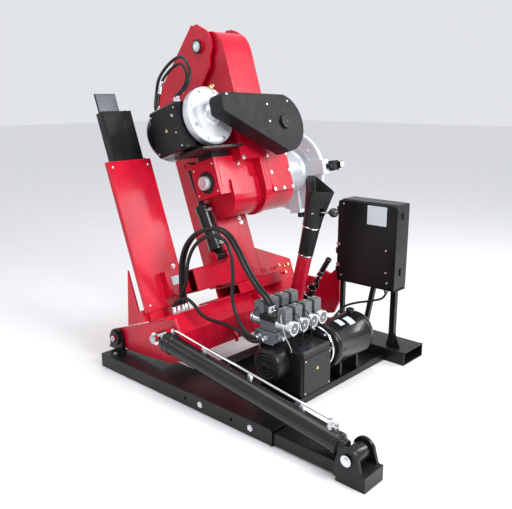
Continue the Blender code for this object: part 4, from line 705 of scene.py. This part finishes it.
for k in range(4):
    turn = SPIN @ Matrix.Rotation(math.radians(7 + 90 * k), 4, "Y")
    bm = bmesh.new()
    for r in (0.258, 0.300):
        bolt(bm, turn, (r, 0.755, 0.0), (0, 1, 0), 0.008, 0.007)
    for z in (-0.0325, 0.0325):
        lathe(bm, turn, (0.292, 0.722, z), (0, 0, 1 if z > 0 else -1),
            [(0, 0), (0.009, 0), (0.009, 0.004), (0, 0.005)], 20)
    slab(bm, turn, [(0.3315, 0.746), (0.3335, 0.746), (0.3335, 0.784), (0.3315, 0.784)], -0.020, 0.020, "XY")
    piece(f"jaw_{k + 1}_hardware", bm, ZINC, f"jaw_{k + 1}", 0.0008)
    bm = bmesh.new()
    teeth = [(0.2475 + 0.014 * i, 0.755) for i in range(5)]
    for x, y in teeth[:4]:
        slab(bm, turn, [(x - 0.003, y - 0.001), (x + 0.003, y - 0.001), (x, y + 0.006)], -0.028, -0.012, "XY")
        slab(bm, turn, [(x - 0.003, y - 0.001), (x + 0.003, y - 0.001), (x, y + 0.006)], 0.012, 0.028, "XY")
    piece(f"jaw_{k + 1}_teeth", bm, BOOT, f"jaw_{k + 1}")
    bm = bmesh.new()
    for side in (-1, 1):
        low, high = (0.150, 0.6440, 0.0432 * side - 0.002), (0.276, 0.6905, 0.0432 * side + 0.002)
        box(bm, turn, low, high)
    lathe(bm, turn, (0.215, 0.6435, 0), (0, -1, 0), [(0, -0.014), (0.022, -0.014), (0.022, 0.004),
        (0.019, 0.007), (0, 0.007)], 28)
    piece(f"chuck_arm_rail_{k + 1}", bm, SILVER, "spindle", 0.001)

# ---------------------------------------------------------------- power unit
bm = bmesh.new()
shell = [(0, 0.336), (0.040, 0.335), (0.085, 0.327), (0.112, 0.308), (0.1235, 0.285), (0.1255, 0.268),
    (0.1255, 0.262),
         (0.1235, 0.258), (0.1235, 0.000), (0.1255, -0.004), (0.1255, -0.024), (0.120, -0.036),
         (0.112, -0.0400), (0, -0.0400)]
lathe(bm, BASE, (1.08, 0, 0.223), (0, 1, 0), shell, 96)
box(bm, BASE, (1.005, 0.050, 0.0126), (1.150, 0.062, 0.143))
box(bm, BASE, (1.005, 0.208, 0.0126), (1.150, 0.220, 0.143))
lathe(bm, BASE, (1.08, 0.23, 0.343), (0, 0, 1), [(0, 0), (0.017, 0), (0.017, 0.012), (0.024, 0.014),
    (0.024, 0.028), (0.020, 0.031),
                                               (0, 0.031)], 32)
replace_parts(piece("tank_shell", bm, TANK, "base", 0.0010), "oil_tank")
bm = bmesh.new()
for y, a0, a1, w in ((0.15, 52, 80, 0.050), (0.075, 60, 84, 0.040)):
    top = arc(1.08, 0.223, 0.1250, a0, a1, 10)
    under = arc(1.08, 0.223, 0.1220, a0, a1, 10)
    slab(bm, BASE, top + under[::-1], y - w / 2, y + w / 2)
piece("tank_labels", bm, LABEL, "base")
bm = bmesh.new()
ring = [(0.05, -0.0412), (0.104, -0.0412), (0.116, -0.0440), (0.118, -0.048), (0.118, -0.053), (0.115, -0.0585),
    (0.05, -0.0590)]
lathe(bm, BASE, (1.06, 0, 0.223), (0, 1, 0), ring, 80)
for k in range(8):
    a = math.radians(45 * k + 10)
    bolt(bm, BASE, (1.06 + 0.098 * math.cos(a), -0.0592, 0.223 + 0.098 * math.sin(a)), (0, -1, 0), 0.007, 0.007)
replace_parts(piece("flange_ring", bm, CHROME, "base"), "pump_flange")
bm = bmesh.new()
body = [(0, -0.0605), (0.070, -0.0605), (0.082, -0.064), (0.082, -0.075), (0.084, -0.080), (0.084, -0.300),
    (0.0895, -0.304),
        (0.0905, -0.310), (0.0905, -0.380), (0.084, -0.396), (0.070, -0.406), (0.062, -0.4035),
        (0.052, -0.4085), (0.044, -0.4055),
        (0.034, -0.4095), (0.027, -0.4065), (0.018, -0.410), (0, -0.410)]
lathe(bm, BASE, (1.00, 0, 0.205), (0, 1, 0), body, 80)
for k in range(36):
    turn = BASE @ Matrix.Translation((1.00, 0, 0.205)) @ Matrix.Rotation(math.radians(10 * k), 4, "Y")
    box(bm, turn, (-0.0014, -0.298, 0.082), (0.0014, -0.084, 0.0895))
box(bm, BASE, (0.945, -0.270, 0.0126), (1.022, -0.252, 0.140))
box(bm, BASE, (0.945, -0.150, 0.0126), (1.022, -0.132, 0.140))
box(bm, BASE, (0.935, -0.275, 0.0126), (1.026, -0.125, 0.0200))
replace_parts(piece("pump_motor_ribbed", bm, BLACK, "base", 0.0008), "pump_motor")
bm = bmesh.new()
side = rounded([(-0.302, 0.052), (-0.078, 0.052), (-0.078, 0.252), (-0.302, 0.252)], 0.012)
slab(bm, BASE, side, 1.1698, 1.1745, "YZ")
front = rounded([(1.040, 0.052), (1.160, 0.052), (1.160, 0.250), (1.125, 0.278), (1.075, 0.280)], 0.010)
slab(bm, BASE, front, -0.3145, -0.3098)
piece("terminal_box_covers", bm, BLACK, "base", 0.0014)
bm = bmesh.new()
for y in (-0.292, -0.088):
    for z in (0.064, 0.240):
        screw(bm, BASE, (1.1745, y, z), (1, 0, 0), 0.005)
piece("terminal_box_screws", bm, ZINC, "base")
bm = bmesh.new()
slab(bm, BASE, [(-0.202, 0.170), (-0.180, 0.170), (-0.191, 0.190)], 1.1744, 1.1752, "YZ")
piece("terminal_mark", bm, YELLOW, "base")

# ---------------------------------------------------------------- valve bank
for index, y in enumerate((-0.336, -0.257, -0.178, -0.099)):
    tag = f"valve_{index + 1}"
    bm = bmesh.new()
    for x0, x1 in ((0.857, 0.924), (1.029, 1.099)):
        coil = [(0, 0), (0.0275, 0), (0.0300, 0.003), (0.0300, x1 - x0 - 0.003), (0.0275, x1 - x0),
            (0, x1 - x0)]
        lathe(bm, BASE, (x0, y, 0.420), (1, 0, 0), coil, 40)
    lathe(bm, BASE, (1.0995, y, 0.420), (1, 0, 0), [(0.026, 0), (0.0372, 0), (0.0382, 0.003), (0.0382, 0.030),
        (0.0350, 0.0352),
                                                  (0.0290, 0.0352), (0.0280, 0.0320)], 40)
    lathe(bm, BASE, (1.1335, y, 0.420), (1, 0, 0), [(0, 0), (0.006, 0), (0.006, 0.0025), (0, 0.003)], 16)
    piece(tag + "_coils", bm, ZINC, "base")
    bm = bmesh.new()
    lathe(bm, BASE, (1.1050, y, 0.420), (1, 0, 0), [(0, 0), (0.0285, 0), (0.0285, 0.0265), (0.026, 0.0280),
        (0, 0.0275)], 36)
    box(bm, BASE, (0.9255, y - 0.0305, 0.4300), (1.0275, y + 0.0305, 0.4635))
    piece(tag + "_body", bm, BLACK, "base", 0.0015)
    bm = bmesh.new()
    for x0, x1, top in ((1.0435, 1.0975, 0.512), (0.8835, 0.9415, 0.520)):
        shape = [(x0, 0.4400), (x1, 0.4400), (x1, top - 0.010), (x1 - 0.008, top + 0.002),
            (x0 + 0.008, top + 0.002),
                 (x0, top - 0.010)]
        slab(bm, BASE, shape, y - 0.0275, y + 0.0275)
        mid = (x0 + x1) / 2
        box(bm, BASE, (mid - 0.0035, y - 0.0240, top), (mid + 0.0035, y + 0.0240, top + 0.0050))
        box(bm, BASE, (x0 + 0.007, y - 0.0035, top), (x1 - 0.007, y + 0.0035, top + 0.0050))
        for z in (0.455, 0.468, 0.481):
            box(bm, BASE, (x0 + 0.004, y - 0.0292, z), (x1 - 0.004, y + 0.0292, z + 0.0055))
    piece(tag + "_connectors", bm, PLASTIC, "base", 0.0016)
    bm = bmesh.new()
    for mid, top in ((1.0705, 0.512), (0.9125, 0.520)):
        screw(bm, BASE, (mid, y, top + 0.005), (0, 0, 1), 0.0055)
    piece(tag + "_screws", bm, PALE, "base")
bm = bmesh.new()
slab(bm, BASE, rounded([(0.906, 0.314), (1.034, 0.314), (1.034, 0.3770), (0.906, 0.3770)], 0.004), -0.3825,
    -0.3782)
slab(bm, BASE, rounded([(0.906, 0.314), (1.034, 0.314), (1.034, 0.3770), (0.906, 0.3770)], 0.004), -0.0628,
    -0.0585)
piece("manifold_ends", bm, SLATE, "base", 0.001)
bm = bmesh.new()
for y in (-0.336, -0.257, -0.178, -0.099):
    lathe(bm, BASE, (1.0302, y, 0.348), (1, 0, 0), [(0, 0), (0.013, 0), (0.013, 0.010), (0.009, 0.012),
        (0.009, 0.026), (0.012, 0.028),
                                                  (0.012, 0.036), (0, 0.036)], 6)
    for x in (0.936, 1.017):
        bolt(bm, BASE, (x, y + 0.022, 0.4635), (0, 0, 1), 0.0045, 0.006, False)
piece("manifold_fittings", bm, ZINC, "base")
wires = [
    [(1.070, -0.364, 0.485), (1.085, -0.385, 0.470), (1.105, -0.392, 0.430), (1.115, -0.380, 0.380),
    (1.115, -0.340, 0.310),
     (1.110, -0.330, 0.285)],
    [(1.070, -0.285, 0.485), (1.120, -0.290, 0.470), (1.145, -0.285, 0.400), (1.135, -0.280, 0.330),
    (1.105, -0.275, 0.286)],
    [(1.070, -0.206, 0.485), (1.118, -0.210, 0.468), (1.142, -0.208, 0.390), (1.130, -0.205, 0.320),
    (1.100, -0.200, 0.286)],
    [(0.912, -0.364, 0.490), (0.900, -0.385, 0.460), (0.890, -0.392, 0.400), (0.880, -0.340, 0.330),
    (0.868, -0.305, 0.290)],
]
for index, route in enumerate(wires):
    tube(f"coil_lead_{index + 1}", BASE, route, 0.0026, PALE if index == 0 else RUBBER, "base", 0.010, 3)

# ---------------------------------------------------------------- pedestal
axis = (V((0.722, 0.270, 0.624)) - V((0.585, 0.270, 0.0666))).normalized()
bm = bmesh.new()
lathe(bm, BASE, V((0.722, 0.270, 0.624)) - axis * 0.004, axis, [(0.0445, 0), (0.0478, 0.001), (0.0478, 0.008),
    (0.0462, 0.009)], 64)
lathe(bm, BASE, V((0.7605, 0.270, 0.795)), axis, [(0.0515, 0), (0.0548, 0.001), (0.0556, 0.008),
    (0.0535, 0.010)], 64)
piece("boot_seam_rings", bm, CHROME, "base")
bm = bmesh.new()
lathe(bm, BASE, V((0.585, 0.270, 0.0666)) + axis * 0.018, axis,
    [(0.040, 0), (0.056, 0), (0.050, 0.006), (0.0445, 0.012)], 56)
lathe(bm, BASE, V((0.585, 0.270, 0.0666)) + axis * 0.10, axis, [(0.0440, 0), (0.0455, 0.002), (0.0455, 0.012),
    (0.0440, 0.014)], 56)
piece("post_weld", bm, RED, "base")
mouth = [V((0.886, 0.337, 0.997)), V((0.720, 0.346, 1.088)), V((0.712, 0.269, 1.070)), V((0.801, 0.206, 1.011))]
middle = sum(mouth, V((0, 0, 0))) / 4
rim = []
for i in range(24):
    angle = 2 * math.pi * i / 24 - math.pi / 4
    s = max(-1.0, min(1.0, 1.28 * math.cos(angle)))
    t = max(-1.0, min(1.0, 1.28 * math.sin(angle)))
    east, west = mouth[0].lerp(mouth[1], (t + 1) / 2), mouth[3].lerp(mouth[2], (t + 1) / 2)
    rim.append(middle + (west.lerp(east, (s + 1) / 2) - middle) * 0.965)
tube("boot_lip", BASE, [*rim, rim[0]], 0.0036, BOOT, "base", 0.006, 3)
bm = bmesh.new()
flare = ((0.693, 0.318, 1.088), (0.712, 0.269, 1.0695), (0.7195, 0.345, 1.0875), (0.742, 0.238, 0.850),
    (0.698, 0.311, 1.082))
for corner in flare:
    bm.verts.new(BASE @ V(corner))
bmesh.ops.convex_hull(bm, input=bm.verts)
piece("boot_flare", bm, BOOT, "base", 0.002)
bm = bmesh.new()
LEVER = BASE @ Matrix.Translation((0.800, 0.270, 0.885))
ball = [(0.027 * math.sin(math.radians(a)), -0.027 * math.cos(math.radians(a))) for a in range(0, 181, 6)]
ball[0], ball[-1] = (0, ball[0][1]), (0, ball[-1][1])
lathe(bm, LEVER, (0.118, 0, 0.014), (0.99, 0, 0.12), [(r * 1.02, t * 1.02) for r, t in ball], 48)
lathe(bm, LEVER, (0.084, 0, 0.0101), (0.99, 0, 0.12), [(0.007, 0), (0.011, 0.003), (0.011, 0.010),
    (0.008, 0.014)], 28)
piece("lever_ball", bm, KNOB, "control_lever")
bm = bmesh.new()
HAND = BASE @ Matrix.Translation((0.728, 0.360, 0.424))
way = V((0.072, 0, 0.121)).normalized()
grip = [(0.0135, 0.056), (0.0175, 0.060), (0.0175, 0.070), (0.0150, 0.073), (0.0168, 0.080), (0.0168, 0.176),
    (0.0185, 0.182),
        (0.0185, 0.196), (0.0150, 0.203), (0, 0.204)]
lathe(bm, HAND, (0, 0, 0), way, grip, 40, 0.0015)
piece("hand_grip", bm, KNOB, "hand_lever")
bm = bmesh.new()
for t in (0.060, 0.092, 0.176):
    lathe(bm, HAND, (0, 0, 0), way, [(0.0165, t), (0.0182, t + 0.001), (0.0182, t + 0.006),
        (0.0165, t + 0.007)], 40)
piece("grip_bands", bm, CHROME, "hand_lever")
bm = bmesh.new()
lathe(bm, BASE, (0.674, 0.360, 0.3268), V((0.040, 0, 0.074)), [(0.0268, 0.010), (0.0292, 0.011),
    (0.0292, 0.018), (0.0268, 0.019),
      (0.0268, 0.060), (0.0292, 0.061), (0.0292, 0.068), (0.0268, 0.069)], 40)
bolt(bm, BASE, (0.728, 0.340, 0.424), (0, -1, 0), 0.009, 0.007)
piece("hand_valve_rings", bm, CHROME, "base")

# ---------------------------------------------------------------- cabinet
bm = bmesh.new()
face = rounded([(0.7945, 0.4322), (1.2018, 0.4322), (1.2018, 0.9358), (0.7945, 0.9358)], 0.022, steps=6)
slab(bm, BASE, face, 0.4932, 0.5142)
slab(bm, BASE, rounded([(0.812, 0.448), (1.184, 0.448), (1.184, 0.920), (0.812, 0.920)], 0.016, steps=5),
    0.4918, 0.4940)
for z in (0.48, 0.60, 0.86):
    lathe(bm, BASE, (0.788, 0.503, z), (0, 0, 1), [(0, 0), (0.009, 0), (0.009, 0.035), (0, 0.035)], 24, 0.001)
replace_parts(piece("cabinet_door_panel", bm, BLACK, "cabinet_door", 0.004), "cabinet_door")
bm = bmesh.new()
slab(bm, BASE, rounded([(1.002, 0.812), (1.132, 0.812), (1.132, 0.925), (1.002, 0.925)], 0.004), 0.4906, 0.4920)
piece("cabinet_label", bm, LABEL, "cabinet_door")
bm = bmesh.new()
for x, z in ((0.8326, 0.915), (1.1375, 0.671), (1.1416, 0.539), (1.1527, 0.478), (0.8284, 0.470)):
    screw(bm, BASE, (x, 0.4920, z), (0, -1, 0), 0.006)
for z in (0.525, 0.655):
    box(bm, BASE, (0.790, 0.4885, z), (0.815, 0.4932, z + 0.016))
piece("cabinet_screws", bm, ZINC, "cabinet_door", 0.0008)
bm = bmesh.new()
for z in (0.515, 0.850):
    slab(bm, BASE, rounded([(0.570, z), (0.594, z), (0.594, z + 0.040), (0.570, z + 0.040)], 0.004), 1.1895,
        1.1965, "YZ")
box(bm, BASE, (0.806, 0.5160, 0.9375), (1.184, 0.6440, 0.9400))
piece("cabinet_latches", bm, BLACK, "base", 0.001)
bm = bmesh.new()
for x in (0.8095, 1.177):
    bolt(bm, BASE, (x, 0.5475, 0.0812), (0, 0, 1), 0.007, 0.006)
for x in (0.860, 1.130):
    bolt(bm, BASE, (x, 0.530, 0.4232), (0, 0, -1), 0.007, 0.006)
piece("stand_bolts", bm, ZINC, "base")

# ---------------------------------------------------------------- floor, light and camera
bm = bmesh.new()
slab(bm, Matrix(), [(-30, -30), (30, -30), (30, 30), (-30, 30)], -0.02, -0.0005, "XY")
mesh = bpy.data.meshes.new("floor")
bm.to_mesh(mesh)
bm.free()
floor = bpy.data.objects.new("floor", mesh)
floor_look = surface("studio_floor", (0.86, 0.86, 0.87), 0.55, vary=0.01, bump=0.0)
mesh.materials.append(floor_look)
bpy.context.scene.collection.objects.link(floor)

world = bpy.data.worlds.new("studio")
bpy.context.scene.world = world
world.use_nodes = True
world.node_tree.nodes["Background"].inputs["Color"].default_value = (0.95, 0.97, 1.0, 1)
world.node_tree.nodes["Background"].inputs["Strength"].default_value = 0.80


def lamp(name, place, aim, size, power, size_y=None):
    light = bpy.data.lights.new(name, "AREA")
    light.energy = power
    light.shape = "RECTANGLE"
    light.size = size
    light.size_y = size_y or size
    obj = bpy.data.objects.new(name, light)
    obj.location = place
    obj.rotation_euler = (V(aim) - V(place)).to_track_quat("-Z", "Y").to_euler()
    bpy.context.scene.collection.objects.link(obj)


lamp("key", (4.2, -0.4, 3.0), (0.0, 0, 0.9), 1.5, 170)
lamp("strip", (2.6, 2.8, 2.6), (0, 0, 0.9), 0.7, 70, 2.4)
lamp("top", (-0.4, -0.4, 4.2), (0, 0, 0.6), 2.4, 60)
lamp("left", (-2.4, -3.2, 2.4), (-0.2, 0, 0.9), 1.4, 12)

camera = bpy.data.objects.new("camera", bpy.data.cameras.new("camera"))
camera.data.lens = 45.0
camera.data.sensor_width = 36.0
camera.location = (2.2585, -2.7035, 1.55)
camera.rotation_euler = (math.radians(76), 0, math.radians(42.5))
bpy.context.scene.collection.objects.link(camera)
bpy.context.scene.camera = camera
bpy.context.scene.view_settings.view_transform = "Standard"
